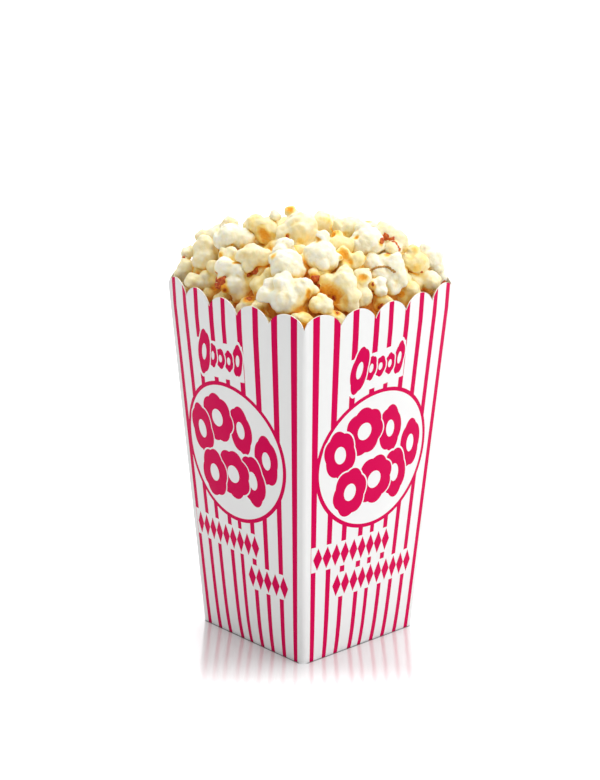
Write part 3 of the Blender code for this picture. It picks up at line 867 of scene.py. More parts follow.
def wall_crumbs(balls_around, first):
    draw = random.Random(SEED + 2)
    taken, found = list(balls_around), []
    for wall in range(4):
        quarter = Matrix.Rotation(wall * math.pi / 2, 3, 'Z')
        for step in range(round(RIM_WIDTH / CRUMB_SPACING)):
            radius = draw.uniform(*CRUMB_RADIUS)
            sideways = (step + draw.uniform(0, 1)) * CRUMB_SPACING - RIM_WIDTH / 2
            spot = Vector((sideways, -RIM_WIDTH / 2, RIM_HEIGHT + draw.uniform(*CRUMB_RISE)))
            place = held_inside(quarter @ spot, radius)
            if is_free(place, radius, taken, CRUMB_ROOM):
                found.append(kept_inside(grown_kernel(first + len(found), place, radius)))
                taken.append((place, radius))
    return found


crumbs = wall_crumbs([ball for balls in kernels + filling for ball in balls], len(kernels) + len(filling))
for number, lobe in TIP_PUFFS:
    kernels[number] += kept_inside(seen_kernel(SEEN_KERNELS[number][0], (lobe,)))
print(len(crumbs), "broken pieces along the walls")

# %% [markdown]
# ## One kernel
#
# A kernel of corn bursts into puffs that blow up out of one small hull. So a kernel is a cluster of
# balls, and each of those carries smaller ones. A voxel remesh melts the balls into one skin with
# creases where they meet, which is the look of popped starch. Three noises then dent and swell it.

# %% Small puffs of a kernel
SMALL_PUFFS = 2
SMALL_PUFF_SIZE = (0.30, 0.52)
SMALL_PUFF_SUNK = 0.62


def small_puffs(number, balls):
    """Smaller balls, set half sunk into the large ones."""
    draw = random.Random(SEED * PUFF_DRAWS + number)
    centre = sum((place for place, _ in balls), Vector()) / len(balls)
    small = []
    for place, size in balls:
        for _ in range(SMALL_PUFFS):
            way = Vector([draw.gauss(0, 1) for _ in range(3)]).normalized()
            outward = (place - centre) / max(size, (place - centre).length)
            way = (way + outward).normalized()
            radius = size * draw.uniform(*SMALL_PUFF_SIZE)
            small.append((held_inside(place + way * (size - radius * SMALL_PUFF_SUNK), radius), radius))
    return small


# %% Skin of a kernel
SKIN_CELL = 0.00075
FILL_CELL = 0.0011
PUFF_NOISE = (        # kind, size, how much it moves the skin, and the level that stays
    ('CLOUDS', 0.0062, 0.0013, 0.45), ('VORONOI', 0.0042, -0.0012, 0.55), ('CLOUDS', 0.0020, 0.0003, 0.45))


def noise_texture(kind, size):
    texture = bpy.data.textures.new(kind, kind)
    texture.noise_scale = size
    return texture


skin_noise = [(noise_texture(kind, size), strength, level) for kind, size, strength, level in PUFF_NOISE]


def kernel_skin(balls, cell):
    """One closed, softly uneven skin over a cluster of balls."""
    bm = bmesh.new()
    for place, radius in balls:
        bmesh.ops.create_icosphere(bm, subdivisions=2, radius=radius, matrix=Matrix.Translation(place))
    kernel = linked_object("kernel", mesh_from(bm, "kernel"))
    add_modifier(kernel, 'REMESH', mode='VOXEL', voxel_size=cell)
    add_modifier(kernel, 'SMOOTH', factor=0.5, iterations=2)
    for texture, strength, level in skin_noise:
        add_modifier(kernel, 'DISPLACE', texture=texture, texture_coords='LOCAL', strength=strength,
                     mid_level=level)
    apply_modifiers(kernel)
    mesh = kernel.data
    bpy.data.objects.remove(kernel)
    return mesh


def read_triples(items, what):
    """A place or a direction of each item of a mesh, as rows."""
    values = np.empty(len(items) * 3)
    items.foreach_get(what, values)
    return values.reshape(-1, 3)


def spread(mesh, values, times):
    """Each point's value, averaged with its neighbours' some times over."""
    ends = np.empty(len(mesh.edges) * 2, dtype=np.int64)
    mesh.edges.foreach_get("vertices", ends)
    first, second = ends.reshape(-1, 2).T
    points = len(values)
    count = np.bincount(first, minlength=points) + np.bincount(second, minlength=points)
    for _ in range(times):
        total = values.copy()
        for one, other in ((first, second), (second, first)):
            total += np.stack([np.bincount(one, column, points) for column in values[other].T], 1)
        values = total / (count + 1)[:, None]
    return values


# %% Make the skin of every kernel
clusters = kernels + filling + crumbs
skins = [kernel_skin(balls + small_puffs(number, balls), SKIN_CELL if number < len(kernels) else FILL_CELL)
         for number, balls in enumerate(clusters)]
skin_points = [read_triples(mesh.vertices, "co") for mesh in skins]
skin_tints_and_shade = [np.zeros(len(points)) for points in skin_points]
face_ends = np.cumsum([len(mesh.polygons) for mesh in skins])
print("skins:", len(skins), "with", face_ends[-1], "faces")


def all_skins():
    """All skins as one surface that lines of sight can be traced to."""
    bm = bmesh.new()
    for mesh in skins:
        bm.from_mesh(mesh)
    surface = BVHTree.FromBMesh(bm)
    bm.free()
    return surface


def picture_way(degrees, normal):
    """The direction along a skin that looks, in the picture, turned so far from its right side."""
    turn = camera.matrix_world.to_3x3() @ Matrix.Rotation(math.radians(degrees), 3, 'Z')
    way = turn @ Vector((1, 0, 0))
    return (way - normal * way.dot(normal)).normalized()


# %% [markdown]
# ## Pockets
#
# Where a puff tore or folded over, popcorn has pockets that lead down to the hull. One is pressed in by
# moving the skin inwards and a little to one side, so that one edge overhangs. Moved outwards instead, the
# skin swells into one more puff. Pockets of the picture are
# found by looking: a line of sight through a place in the picture gives the kernel and the spot on it.

# %% Pockets of the picture
SEEN_POCKETS = (
    # column, row, radius in mm, stretch, its angle, angle that it dives to, depth in radii (a puff if
    # it is negative), tint, which is partly painted shade
    (264, 236, 4.4, 1.5, -58, 150, 0.50, 1.10), (331, 292, 5.8, 1.6, -42, -120, 0.75, 1.35),
    (345, 301, 2.6, 2.2, 78, 180, 0.35, 0.75), (308.5, 295.5, 2.2, 2.4, -74, 0, 0.70, 1.25),
    (363, 278.5, 2.7, 1.35, -12, 90, 0.50, 1.15), (237, 262.4, 1.2, 3.0, 16, 90, 0.80, 1.70),
    (250.5, 273.5, 2.2, 1.3, 40, 60, 0.55, 1.45), (287.3, 237, 1.6, 1.4, 80, 100, 0.60, 1.60),
    (317.5, 239.5, 1.5, 2.4, -14, 90, 0.60, 1.35), (356, 237.8, 1.5, 1.6, 40, 120, 0.60, 1.55),
    (344.5, 234.5, 2.2, 1.5, -10, 90, 0.35, 0.85), (344, 255.5, 3.8, 1.5, -48, 60, 0.45, 1.10),
    (231.7, 245.4, 1.1, 1.2, 0, 90, 0.70, 2.00), (391, 248.5, 4.4, 1.0, 0, 90, -0.45, 0.0),
    (222, 282, 3.4, 1.05, 60, 180, 0.35, 1.30), (315, 283, 3.0, 1.4, -65, 180, 0.45, 1.50),
    (290.5, 208.5, 2.2, 1.2, -30, 0, 0.25, 1.15), (372.5, 286, 1.7, 2.0, -70, 180, 0.50, 1.20),
    (286, 300, 2.6, 2.6, 82, 0, 0.20, 0.20), (277, 293, 2.4, 2.6, 75, 0, 0.20, 0.20),
    (318, 262, 2.6, 2.4, 70, 0, 0.14, 0.10), (396, 284, 2.6, 2.6, 80, 0, 0.25, 0.20),
    (205, 262, 2.6, 2.2, 60, 0, 0.20, 0.25), (246, 256, 2.6, 2.0, 10, -90, 0.20, 0.25),
    (372, 252, 2.6, 2.2, 50, 180, 0.20, 0.25), (296, 221, 2.8, 2.0, 30, -90, 0.20, 0.30),
)
SEEN_STAINS_AND_SHADE = (
    # column, row, radius in mm, tint; partly oil and hull, partly painted shade deep between kernels
    (267, 239, 6.5, 0.85), (270, 249, 3.4, 1.25), (335, 298.5, 2.8, 1.75), (337, 312.5, 2.8, 1.9),
    (197, 273.5, 3.4, 1.0), (220.5, 255, 2.4, 1.3), (216, 272.5, 2.4, 1.4), (224, 290.5, 4.2, 1.5),
    (249, 298, 4.6, 1.7), (256, 295, 3.4, 1.4), (233, 309, 3.8, 1.6), (262, 313, 4.6, 1.3),
    (187, 292.5, 2.6, 1.1), (305.5, 308.5, 3.4, 1.4), (243, 246.5, 2.2, 0.95), (341.5, 257.5, 1.6, 1.6),
    (351, 262.5, 1.8, 1.6), (388, 254.5, 3.0, 1.1), (366.5, 258.5, 2.6, 1.0), (401, 294, 3.6, 1.25),
    (380.5, 307.5, 3.8, 1.7), (417, 268, 3.4, 0.75), (421.5, 272.6, 1.2, 1.8),
    (314, 278, 3.6, 1.6), (306.5, 270, 3.4, 0.9), (290, 209, 4.0, 1.0), (250, 275, 3.0, 1.4),
    (381, 243, 2.4, 1.3), (300, 241, 2.6, 0.8), (329, 220, 2.4, 0.7), (415, 249, 2.6, 0.7),
    (304, 326, 4.0, 1.3), (273, 256, 2.6, 1.2),
)
POCKET_LEAN = 0.55
POCKET_FLAT = 0.4                   # how little a point counts that lies over or under it
POCKET_STEEP, TINT_STEEP = 1.5, 0.75
POCKET_RAGGED = (0.0024, 0.55)      # size of the noise at its edge, and share


def press_pocket(number, place, out, long_way, radius, stretch, dive, depth, tint_and_shade):
    """Press one pocket into a kernel's skin, and tint what was moved, most where it moved most: partly oil
    and hull, partly painted shade.
    """
    points, tints = skin_points[number], skin_tints_and_shade[number]
    side = np.cross(out, long_way)
    away = points - place
    near = np.flatnonzero((away ** 2).sum(axis=1) < (radius * stretch) ** 2)
    along, across, over = away[near] @ long_way, away[near] @ side, away[near] @ out
    size, share = POCKET_RAGGED
    ragged = np.array([1 + share * noise.noise(Vector(point / size)) for point in points[near]])
    squares = (along / (radius * stretch)) ** 2 + (across / radius) ** 2 + (over / radius) ** 2 * POCKET_FLAT
    fall = np.clip(1 - squares * ragged, 0, 1)
    if depth > 0:
        points[near] += (fall ** POCKET_STEEP * radius * depth)[:, None] * (dive * POCKET_LEAN - out)
    else:
        points[near] -= (np.sqrt(fall) * radius * depth)[:, None] * out
    tints[near] = np.maximum(tints[near], tint_and_shade * fall ** TINT_STEEP)


surface = all_skins()
pocketed = set()
for column, row, radius, stretch, angle, dive, depth, tint_and_shade in SEEN_POCKETS:
    place, normal, face, _ = surface.ray_cast(*sight_line(column, row))
    number = int(np.searchsorted(face_ends, face, side='right'))
    place, out, long_way, dive_way = (np.array(vector) for vector in (
        place, normal, picture_way(angle, normal), picture_way(dive, normal)))
    press_pocket(number, place, out, long_way, radius * MILLIMETRE, stretch, dive_way, depth, tint_and_shade)
    pocketed.add(number)
print("pockets of the picture:", len(SEEN_POCKETS), "in", len(pocketed), "kernels")

# %% [markdown]
# The picture shows one side of the heap. The kernels of the other sides get pockets of the same kinds by
# seeded draws. Stains are tints without a dent: partly oil and hull, and partly painted shade deep
# between kernels.

# %% Pockets on the other sides, and stains
POCKETS_EACH, POCKET_SHARE = 2, 0.75
POCKET_SIZE = (0.0014, 0.0036)
POCKET_STRETCH = (1.0, 2.2)
POCKET_DEPTH = (0.25, 0.65)
POCKET_TINT = (0.2, 1.2)

for number in range(len(SEEN_KERNELS), len(kernels) + len(filling)):
    draw = random.Random(SEED * POCKET_DRAWS + number)
    normals = read_triples(skins[number].vertex_normals, "vector")
    for _ in range(POCKETS_EACH):
        if draw.random() < POCKET_SHARE:
            pick = draw.randrange(len(normals))
            out = normals[pick]
            long_way = np.cross(out, [draw.gauss(0, 1) for _ in range(3)])
            long_way /= np.linalg.norm(long_way)
            press_pocket(number, skin_points[number][pick], out, long_way, draw.uniform(*POCKET_SIZE),
                         draw.uniform(*POCKET_STRETCH), np.cross(out, long_way), draw.uniform(*POCKET_DEPTH),
                         draw.uniform(*POCKET_TINT))
for mesh, points in zip(skins, skin_points):
    mesh.vertices.foreach_set("co", points.ravel())
    mesh.update()
surface = all_skins()
for column, row, radius, tint_and_shade in SEEN_STAINS_AND_SHADE:
    place = surface.ray_cast(*sight_line(column, row))[0]
    for points, tints in zip(skin_points, skin_tints_and_shade):
        distance = np.linalg.norm(points - np.array(place), axis=1) / (radius * MILLIMETRE)
        np.maximum(tints, tint_and_shade * np.clip(1 - distance ** 2, 0, 1), out=tints)

# %% [markdown]
# ## Where popcorn is yellow, and where shade is painted on it
#
# The outside of a puff is cream white. It yellows in the creases, partly where oil and hull collect and
# partly as painted shade. It turns amber in the pockets, partly as painted shade. It is given painted shade
# and a painted orange glow deep between kernels, low in the heap and on undersides. So the colour is
# measured on the shape: how hollow the skin is at a point, how much it was pressed in or stained, how
# close the next kernel is, how deep under the heap's roof it lies and how much it faces down. The three
# numbers are kept as one colour attribute, which holds tones and painted shade.

# %% Measure the tones and the painted shade of a kernel's skin
# The hollow measure is partly oil and partly painted shade. The rest paints shade near the next kernel, deep
# under the heap's roof and on undersides.
CREASE_DEPTH = 0.00006
CREASE_SPREAD = 2
GAP_SHADE_WIDTH = 0.0024
ROOF_OVER = 0.0075         # where the heap's roof is, over the middles of its kernels
ROOF_SHADE_FADE = 0.016          # how deep under the roof the painted shade is full
UNDERSIDE_SHADE = 0.35
HEAP_HEART = (0.0, 0.0, 0.170)
COVERED, UNCOVERED = 0.62, 0.28    # how much of a gap's painted shade shows, level with and over the next kernel
HOLLOW_LIMITS = (-0.4, 2.0)
GAP_SHADE_SHARE, DEPTH_SHADE_SHARE = 0.9, 0.7
NEIGHBOUR_REACH = 0.005


def kernel_tones_and_shade(mesh, tints, neighbours):
    points, normals = read_triples(mesh.vertices, "co"), read_triples(mesh.vertex_normals, "vector")
    sunk = ((spread(mesh, points, 1) - points) * normals).sum(axis=1) / CREASE_DEPTH
    measured = spread(mesh, np.stack([np.clip(sunk, *HOLLOW_LIMITS), tints], axis=1), CREASE_SPREAD)
    middles = np.array([tuple(place) for place, _ in neighbours])
    radii = np.array([radius for _, radius in neighbours])
    away = middles[None] - points[:, None, :]
    distance = np.linalg.norm(away, axis=2)
    closest = (distance - radii[None]).argmin(axis=1)
    each = np.arange(len(points))
    reach = (distance - radii[None])[each, closest]
    out = points - np.array(HEAP_HEART)
    lift = (away[each, closest] * out).sum(axis=1) / (distance[each, closest] * np.linalg.norm(out, axis=1))
    near = np.exp(-np.maximum(reach, 0.0) / GAP_SHADE_WIDTH) * np.clip(COVERED + lift, UNCOVERED, 1)
    roof = RIM_HEIGHT + ROOF_OVER + np.array([heap_rise(x, y) for x, y in points[:, :2]])
    depth = np.clip((roof - points[:, 2]) / ROOF_SHADE_FADE, 0, 1) * DEPTH_SHADE_SHARE
    under = np.clip(-normals[:, 2], 0, 1) * UNDERSIDE_SHADE
    # painted shade: darkest between kernels, deep in the heap and on undersides
    deep = 1 - (1 - near * GAP_SHADE_SHARE) * (1 - depth) * (1 - under)
    return np.stack([np.clip(measured[:, 0], 0, 1), measured[:, 1], deep, np.ones(len(points))], axis=1)


# %% Sort the kernels into three kinds
KINDS = ("pale", "cream", "buttery")
SEEN_KINDS = ("pale pale cream buttery pale cream pale buttery cream cream buttery cream pale cream "
              "pale buttery pale cream buttery buttery cream cream cream cream pale cream buttery cream "
              "pale cream cream cream buttery cream").split()
kind_bm = {kind: bmesh.new() for kind in KINDS}
kind_tones = {kind: [] for kind in KINDS}
kind_draw = random.Random(SEED)
for number, balls in enumerate(clusters):
    centre = balls[0][0]
    reach = max((place - centre).length + size for place, size in balls)
    neighbours = [ball for other, others in enumerate(clusters) for ball in others
                  if other != number and (ball[0] - centre).length < reach + ball[1] + NEIGHBOUR_REACH]
    kind = SEEN_KINDS[number] if number < len(SEEN_KINDS) else KINDS[kind_draw.randrange(len(KINDS))]
    kind_tones[kind].append(kernel_tones_and_shade(skins[number], skin_tints_and_shade[number], neighbours))
    kind_bm[kind].from_mesh(skins[number])
print("kernels of each kind:", {kind: len(kind_tones[kind]) for kind in KINDS})

# %% [markdown]
# ## Popcorn as a material
#
# Popped starch is a foam: light goes in a little way and comes out softened and warmer, so a small part
# of the shading is subsurface. The tones mix the colours. The creases get yellow, partly oil and partly
# painted shade. Pockets and stains get amber, brown and near black, partly their own colour and partly
# painted shade. Deep between kernels there is painted shade with a painted orange glow. A fine bump gives
# the foam its grain.

# %% Popcorn materials
# the yellow of oil in the creases, also laid on as painted shade
STARCH_YELLOW_AND_SHADE = (0.89, 0.66, 0.19)
SHADE_AND_STAIN_COLOURS = (      # painted shade and stain colours: where each starts and is full, by painted shade and by tint, and the colour
    (0.60, 0.98, 0.45, 1.05, (0.84, 0.37, 0.028)),
    (0.90, 1.10, 1.10, 1.55, (0.46, 0.085, 0.010)),
    (1.15, 1.50, 1.55, 2.00, (0.13, 0.022, 0.008)),
)
PAINTED_GAP_GLOW = (0.80, 0.24, 0.02)      # painted glow: orange light painted deep between kernels, for light that soaks through the foam
BLOTCH_SIZE, FLECK_SIZE, FOAM_DEPTH = 0.005, 0.0012, 0.00022


def popcorn_material(name, light, warm):
    """A kind of kernel: its colour on top of a puff, and a warmer colour in random blotches. Painted shade
    and a painted glow go over both.
    """
    material, tree, finish = new_material(name)
    # the attribute holds the hollow measure (partly oil, partly painted shade), the tint of stains and
    # pockets (partly painted shade) and the deep painted shade
    crease_oil_and_shade, tint_and_shade, deep = split(source(tree, 'Attribute', attribute_name="tone_and_shade").Color, 'Color')
    blotches = noise_value(tree, BLOTCH_SIZE, detail=4.0)
    flecks = noise_value(tree, FLECK_SIZE, detail=2.0)
    # painted shade: yellow, then amber, brown and near black, deep between kernels and in pockets and stains
    shade = deep + (blotches * 0.5 - 0.25)
    tint_and_shade = tint_and_shade * (flecks * 0.8 + 0.6)
    colour = blend_colour(ramp_value(blotches, 0.38, 0.68), light, warm)
    yellowing_and_shade = crease_oil_and_shade * 0.45 + ramp_value(shade, 0.22, 0.80)
    yellowing_and_shade = calc('ADD', yellowing_and_shade, ramp_value(tint_and_shade, 0.02, 0.60), clamp=True)
    colour = blend_colour(yellowing_and_shade * 0.9, colour, STARCH_YELLOW_AND_SHADE)
    for low, high, tint_low, tint_high, shade_and_stain_colour in SHADE_AND_STAIN_COLOURS:
        share = calc('MAXIMUM', ramp_value(shade, low, high), ramp_value(tint_and_shade, tint_low, tint_high))
        colour = blend_colour(share, colour, shade_and_stain_colour)
    # the emission is a painted orange glow where the painted shade is deep
    feed_named(finish, Base_Color=colour, Specular_IOR_Level=0.18,
               Roughness=calc('MULTIPLY_ADD', tint_and_shade, -0.15, 0.6, clamp=True), Emission_Strength=0.14,
               Emission_Color=blend_colour(ramp_value(shade, 0.70, 1.05), (0.0, 0.0, 0.0), PAINTED_GAP_GLOW),
               Subsurface_Weight=0.35, Subsurface_Radius=(1.0, 0.75, 0.35), Subsurface_Scale=0.002,
               Normal=bump(flecks + blotches, FOAM_DEPTH))
    return material


KIND_COLOURS = {
    "pale": ((0.86, 0.84, 0.71), (0.85, 0.79, 0.56)),
    "cream": ((0.86, 0.80, 0.58), (0.85, 0.74, 0.42)),
    "buttery": ((0.86, 0.76, 0.46), (0.84, 0.67, 0.28)),
}
for kind, colours in KIND_COLOURS.items():
    mesh = mesh_from(kind_bm[kind], "kernels_" + kind)
    tone_and_shade = mesh.attributes.new("tone_and_shade", 'FLOAT_COLOR', 'POINT')
    tone_and_shade.data.foreach_set("color", np.concatenate(kind_tones[kind]).astype(np.float32).ravel())
    mesh.shade_smooth()
    mesh.materials.append(popcorn_material("popcorn " + kind, *colours))
    dress(linked_object(mesh.name, mesh), "popcorn")

# %% [markdown]
# ## Hulls
#
# Shreds of the corn's hull stay in the folds. They are thin, glossy and red-brown. The ones in the picture
# are found by looking: a line of sight through the place in the picture is followed to the skin it hits,
# and a small flat shell is pressed in there. Others are strewn by a seeded rule over the rest of the heap.

# %% Shells pressed into the skin
SEEN_HULLS = (     # column and row in the picture, size in mm, and how round it is
    (221.5, 281.5, 3.6, 0.95), (219, 286, 2.4, 0.8), (254.7, 271, 2.4, 0.9), (249, 274.5, 1.7, 0.6),
    (287.3, 236.6, 1.5, 0.7), (315.5, 279.5, 3.0, 0.8), (318, 286, 2.2, 0.6), (334, 298, 1.8, 0.6),
    (382.5, 241, 2.4, 0.8), (386.5, 237, 2.6, 0.8), (391, 239.3, 2.2, 0.8), (394.4, 241.8, 1.5, 0.8),
    (396.8, 243.9, 1.3, 0.8), (398.4, 246.6, 1.2, 0.8), (399.6, 249.4, 1.1, 0.8),
    (388, 253.6, 1.2, 0.5), (183.8, 257, 1.1, 0.8), (372.8, 284.5, 1.3, 0.5), (373.5, 291, 1.2, 0.6),
    (421.8, 272.2, 1.2, 0.6), (443.3, 282.8, 2.0, 0.6), (380.5, 306.5, 2.2, 0.5), (376, 314.5, 1.8, 0.6),
    (232.9, 308, 2.0, 0.5), (249, 299, 1.8, 0.4), (337.5, 312.5, 1.8, 0.4), (216.5, 272.6, 1.2, 0.5),
)
SEAM_PATH = ((370.6, 270.3), (374.5, 268.4), (379, 266.9), (384, 266.5), (388.5, 267.6), (392.5, 270.6),
             (396.4, 273.2))       # a row of small tan shells along a fold, as columns and rows
SEAM_SIZE, SEAM_ROUNDNESS = 1.15, 0.7
HULL_THIN, HULL_BEND = 0.32, 0.22
HULL_RAGGED = ((3, 0.07, 1), (5, 0.08, -1))       # waves round its edge, how deep, and which way they turn
STREWN_HULLS, STREWN_SIZE, STREWN_ROUNDNESS = 90, (0.8, 2.0), (0.4, 0.9)
AIM_HEIGHT, AIM_DISTANCE = RIM_HEIGHT + 0.02, 0.1       # where the strewn ones are thrown from
HIDDEN_BY = 0.003


def first_hit(start, way):
    """The nearest skin on a line: its place and its normal. None if there is none."""
    place, normal, _, _ = surface.ray_cast(start, way)
    return (place, normal) if place is not None else None


def is_hidden(place):
    """Whether other popcorn stands between a place and the camera."""
    start = camera.matrix_world.translation
    hit = first_hit(start, (place - start).normalized())
    return hit is not None and (hit[0] - place).length > HIDDEN_BY


def add_shell(bm, place, normal, size, roundness, draw, tan=0.0):
    """A thin, slightly bent shell of hull, half sunk along a normal."""
    tan_layer = bm.verts.layers.float.get("tan") or bm.verts.layers.float.new("tan")
    turn = normal.to_track_quat('Z', 'Y').to_matrix() @ Matrix.Rotation(draw.uniform(0, math.pi), 3, 'Z')
    made = bmesh.ops.create_icosphere(bm, subdivisions=3, radius=1.0)['verts']
    phase = draw.uniform(0, 2 * math.pi)
    for vert in made:
        angle = math.atan2(vert.co.y, vert.co.x)
        ragged = 1 + sum(deep * math.sin(waves * angle + sign * phase) for waves, deep, sign in HULL_RAGGED)
        flat = Vector((vert.co.x * ragged, vert.co.y * ragged * roundness, vert.co.z * HULL_THIN))
        flat.z -= HULL_BEND * (flat.x ** 2 + flat.y ** 2)
        vert.co = place + turn @ flat * size * MILLIMETRE
        vert[tan_layer] = tan


hull_bm = bmesh.new()
hull_draw = random.Random(SEED)
for column, row, size, roundness in SEEN_HULLS:
    hit = first_hit(*sight_line(column, row))
    if hit:
        add_shell(hull_bm, *hit, size, roundness, hull_draw)
for (column, row), (next_column, next_row) in zip(SEAM_PATH, SEAM_PATH[1:]):
    for part in (0.0, 0.5):
        hit = first_hit(*sight_line(column + (next_column - column) * part, row + (next_row - row) * part))
        if hit:
            add_shell(hull_bm, *hit, SEAM_SIZE, SEAM_ROUNDNESS, hull_draw, tan=1.0)
for _ in range(STREWN_HULLS):
    aim = Vector((hull_draw.uniform(-1, 1), hull_draw.uniform(-1, 1), 0)) * RIM_WIDTH / 2
    away = aim.y * math.cos(VIEW_TURN) - aim.x * math.sin(VIEW_TURN)
    way = Vector((hull_draw.gauss(0, 0.5), hull_draw.gauss(0, 0.5), -1)).normalized()
    size = hull_draw.uniform(*STREWN_SIZE)
    hit = first_hit(aim + Vector((0, 0, AIM_HEIGHT)) - way * AIM_DISTANCE, way)
    if hit and away > 0 and hit[1].z > 0 and is_hidden(hit[0]):
        add_shell(hull_bm, *hit, size, hull_draw.uniform(*STREWN_ROUNDNESS), hull_draw)
hull_mesh = mesh_from(hull_bm, "hulls")
hull_mesh.shade_smooth()


# %% Hull as a material
HULL_RED, HULL_ORANGE, HULL_TAN = (0.36, 0.040, 0.008), (0.66, 0.16, 0.022), (0.42, 0.22, 0.06)
VEIN_SIZE = 0.0015


def hull_material():
    material, tree, finish = new_material("corn hull")
    veins = ramp_value(noise_value(tree, VEIN_SIZE, detail=4.0), 0.35, 0.7)
    tan = source(tree, 'Attribute', attribute_name="tan").Fac
    feed_named(finish, Base_Color=blend_colour(tan, blend_colour(veins, HULL_RED, HULL_ORANGE), HULL_TAN),
               Roughness=0.40, Specular_IOR_Level=0.25, Subsurface_Weight=0.15,
               Subsurface_Radius=(1.0, 0.3, 0.1), Subsurface_Scale=0.001)
    return material


hull_mesh.materials.append(hull_material())
dress(linked_object("hulls", hull_mesh), "popcorn")

# %% [markdown]
# ## The body of the heap
#
# Below the kernels that show is more popcorn, seen only as warm dark lumps through the gaps. One closed
# body stands for it: a gridded cube pushed out to the inside of the carton, with lumpy relief on top. Its
# warm dark brown is painted shade, and its faint glow is a painted glow.

# %% Core under the kernels
CORE_DROP = 0.006
CORE_SHRINK = 1.16
CORE_CELLS = 40
CORE_CORNER, CORE_CORNER_CUT = 0.99, 0.0016
CORE_CROWDING = 1.6        # rows of cells crowd towards the foot, where the walls bow
LUMP_SIZE, LUMP_RISE, LUMP_LEVEL = 0.008, 0.004, 0.8
LUMPY_DOWN_TO = RIM_HEIGHT - 0.02


def heap_core():
    bm = bmesh.new()
    bmesh.ops.create_cube(bm, size=2.0)
    bmesh.ops.subdivide_edges(bm, edges=bm.edges, cuts=CORE_CELLS - 1, use_grid_fill=True)
    low, wide = BOARD + GAP, RIM_WIDTH / 2 * CORE_SHRINK
    for vert in bm.verts:
        x, y, up = vert.co.x, vert.co.y, (vert.co.z + 1) / 2
        inset = BOARD + GAP + CORE_CORNER_CUT * (min(abs(x), abs(y)) > CORE_CORNER)
        top = RIM_HEIGHT + heap_rise(x * wide, y * wide) - CORE_DROP
        height = low + (top - low) * up ** CORE_CROWDING
        flat = half_width(height)
        vert.co = Vector((x * (wall_out(y * flat, height) - inset),
                          y * (wall_out(x * flat, height) - inset), height))
    for face in bm.faces:
        face.smooth = True
    return linked_object("popcorn_core", mesh_from(bm, "popcorn_core"))


core = heap_core()
lumpy = core.vertex_groups.new(name="lumpy")
lumpy.add([vert.index for vert in core.data.vertices if vert.co.z > LUMPY_DOWN_TO], 1.0, 'REPLACE')
add_modifier(core, 'DISPLACE', texture=noise_texture('CLOUDS', LUMP_SIZE), texture_coords='LOCAL',
             direction='Z', vertex_group="lumpy", strength=LUMP_RISE, mid_level=LUMP_LEVEL)
apply_modifiers(core)

# %% Popcorn in painted shade
# painted shade: the body's warm dark brown stands for popcorn deep in shade, mottled at random
CORE_SHADE_DARK, CORE_SHADE_WARM = (0.48, 0.11, 0.015), (0.66, 0.28, 0.04)
MOTTLE_SIZE, CRUMBLE_SIZE, CRUMBLE_DEPTH = 0.004, 0.002, 0.0005


def core_material():
    material, tree, finish = new_material("popcorn in the shade")
    mottle = ramp_value(noise_value(tree, MOTTLE_SIZE, detail=4.0), 0.3, 0.7)
    # a faint painted glow as well
    feed_named(finish, Base_Color=blend_colour(mottle, CORE_SHADE_DARK, CORE_SHADE_WARM), Roughness=0.7,
               Specular_IOR_Level=0.1, Emission_Color=PAINTED_GAP_GLOW, Emission_Strength=0.03,
               Normal=bump(noise_value(tree, CRUMBLE_SIZE), CRUMBLE_DEPTH))
    return material


core.data.materials.append(core_material())
dress(core, "popcorn")

# %% [markdown]
# ## Floor and light
#
# A plain white studio: a pale, slightly glossy floor, a wide soft light overhead and a little behind, a
# weaker one from the right, which leaves the left wall of the carton a soft grey, and one from behind for
# the far rim. Near the carton the floor has painted shade and a painted contact shadow along the foot, and
# it mirrors only there, in a square that is the same on every side; a reflection sees a brighter room, so
# that it is the carton that shows in it. Farther out the floor has a painted white glow that only the
# camera sees.

# %% Floor
MIRROR_FADE = (0.050, 0.124)       # gloss and painted shade fade, and the painted glow comes in, over this stretch away from the carton's middle
MIRROR_SHARE = 0.25
# the floor's white, its painted shade near the carton, and its painted contact shadow
FLOOR_WHITE, FLOOR_PAINTED_SHADE, FLOOR_CONTACT_SHADOW = (0.93, 0.93, 0.93), (0.82, 0.815, 0.82), (0.14, 0.14, 0.15)
CONTACT_SHADOW_SPAN = (0.0003, 0.0014)         # painted contact shadow: a dark line where the carton stands
FOOT_CORNER = 0.0025               # how much of its corner the foot's fold rounds off
FLOOR_GLOW = 0.45                  # painted glow: keeps the far floor as white as the room, for the camera alone
FLOOR_SIZE = 8.0


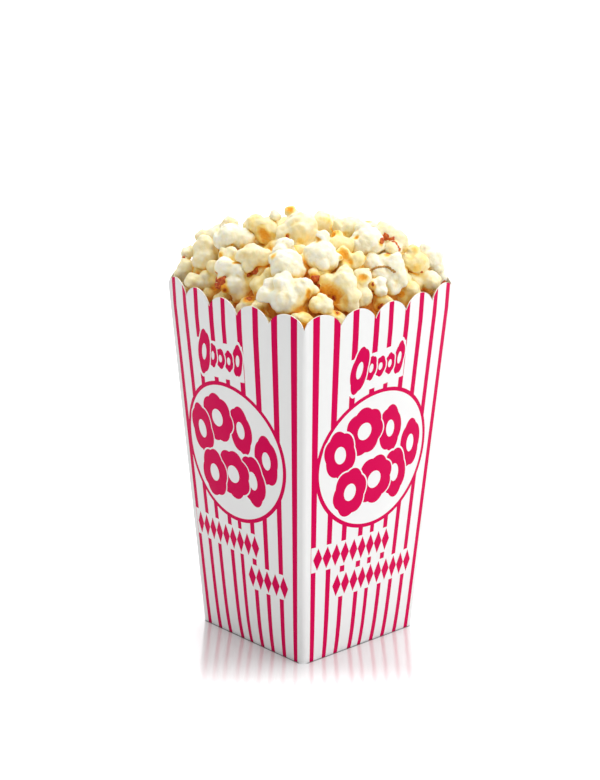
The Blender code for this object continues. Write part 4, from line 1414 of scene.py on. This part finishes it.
def floor_material():
    material, tree, finish = new_material("white floor")
    x, y, _ = split(source(tree, 'TexCoord').Object, 'XYZ')
    diagonal = (abs(x) + abs(y)) / math.sqrt(2)
    far = ramp_value(diagonal, *MIRROR_FADE)
    from_wall = calc('MAXIMUM', abs(x), abs(y)) - FOOT_WIDTH / 2
    from_fold = diagonal - (FOOT_WIDTH / math.sqrt(2) - FOOT_CORNER)
    out_of_contact_shadow = ramp_value(calc('MAXIMUM', from_wall, from_fold), *CONTACT_SHADOW_SPAN)
    seen = source(tree, 'LightPath').Is_Camera_Ray
    # painted shade near the carton, and a painted contact shadow along the foot
    floor_with_painted_shade = blend_colour(far, FLOOR_PAINTED_SHADE, FLOOR_WHITE)
    feed_named(finish, Base_Color=blend_colour(out_of_contact_shadow, FLOOR_CONTACT_SHADOW, floor_with_painted_shade),
               Metallic=(1.0 - far) * MIRROR_SHARE, Roughness=0.14,
               Emission_Color=(1.0, 1.0, 1.0), Emission_Strength=far * seen * FLOOR_GLOW)
    return material


bm = bmesh.new()
bmesh.ops.create_grid(bm, x_segments=1, y_segments=1, size=FLOOR_SIZE)
floor = linked_object("floor", mesh_from(bm, "floor"))
floor.data.materials.append(floor_material())

# %% Lights
SOFT_LIGHTS = (      # name, place (right, away, up) as the camera sees it, size and power
    ("overhead", (0.3, 0.5, 2.2), 2.4, 62.0), ("right", (2.0, -0.9, 1.1), 1.2, 17.0),
    ("backdrop", (0.0, 2.6, 1.0), 3.0, 14.0))
ROOM_LIGHT = 0.55                  # the room's own white light
ROOM_IN_GLOSS = 0.60               # and how much brighter a reflection sees it

for name, place, size, power in SOFT_LIGHTS:
    data = bpy.data.lights.new(name, 'AREA')
    data.size, data.energy = size, power
    light = linked_object(name, data)
    light.location = view_turn @ Vector(place)
    aim = Vector((0, 0, RIM_HEIGHT / 2)) - light.location
    light.rotation_euler = aim.to_track_quat('-Z', 'Y').to_euler()
world = bpy.data.worlds.new("studio")
bpy.context.scene.world = world
world.use_nodes = True
room = world.node_tree
feed_named(room.nodes['Background'].inputs, Color=(1.0, 1.0, 1.0),
           Strength=source(room, 'LightPath').Is_Glossy_Ray * ROOM_IN_GLOSS + ROOM_LIGHT)
bpy.context.scene.view_settings.view_transform = 'Standard'
bpy.context.scene.view_settings.look = 'None'
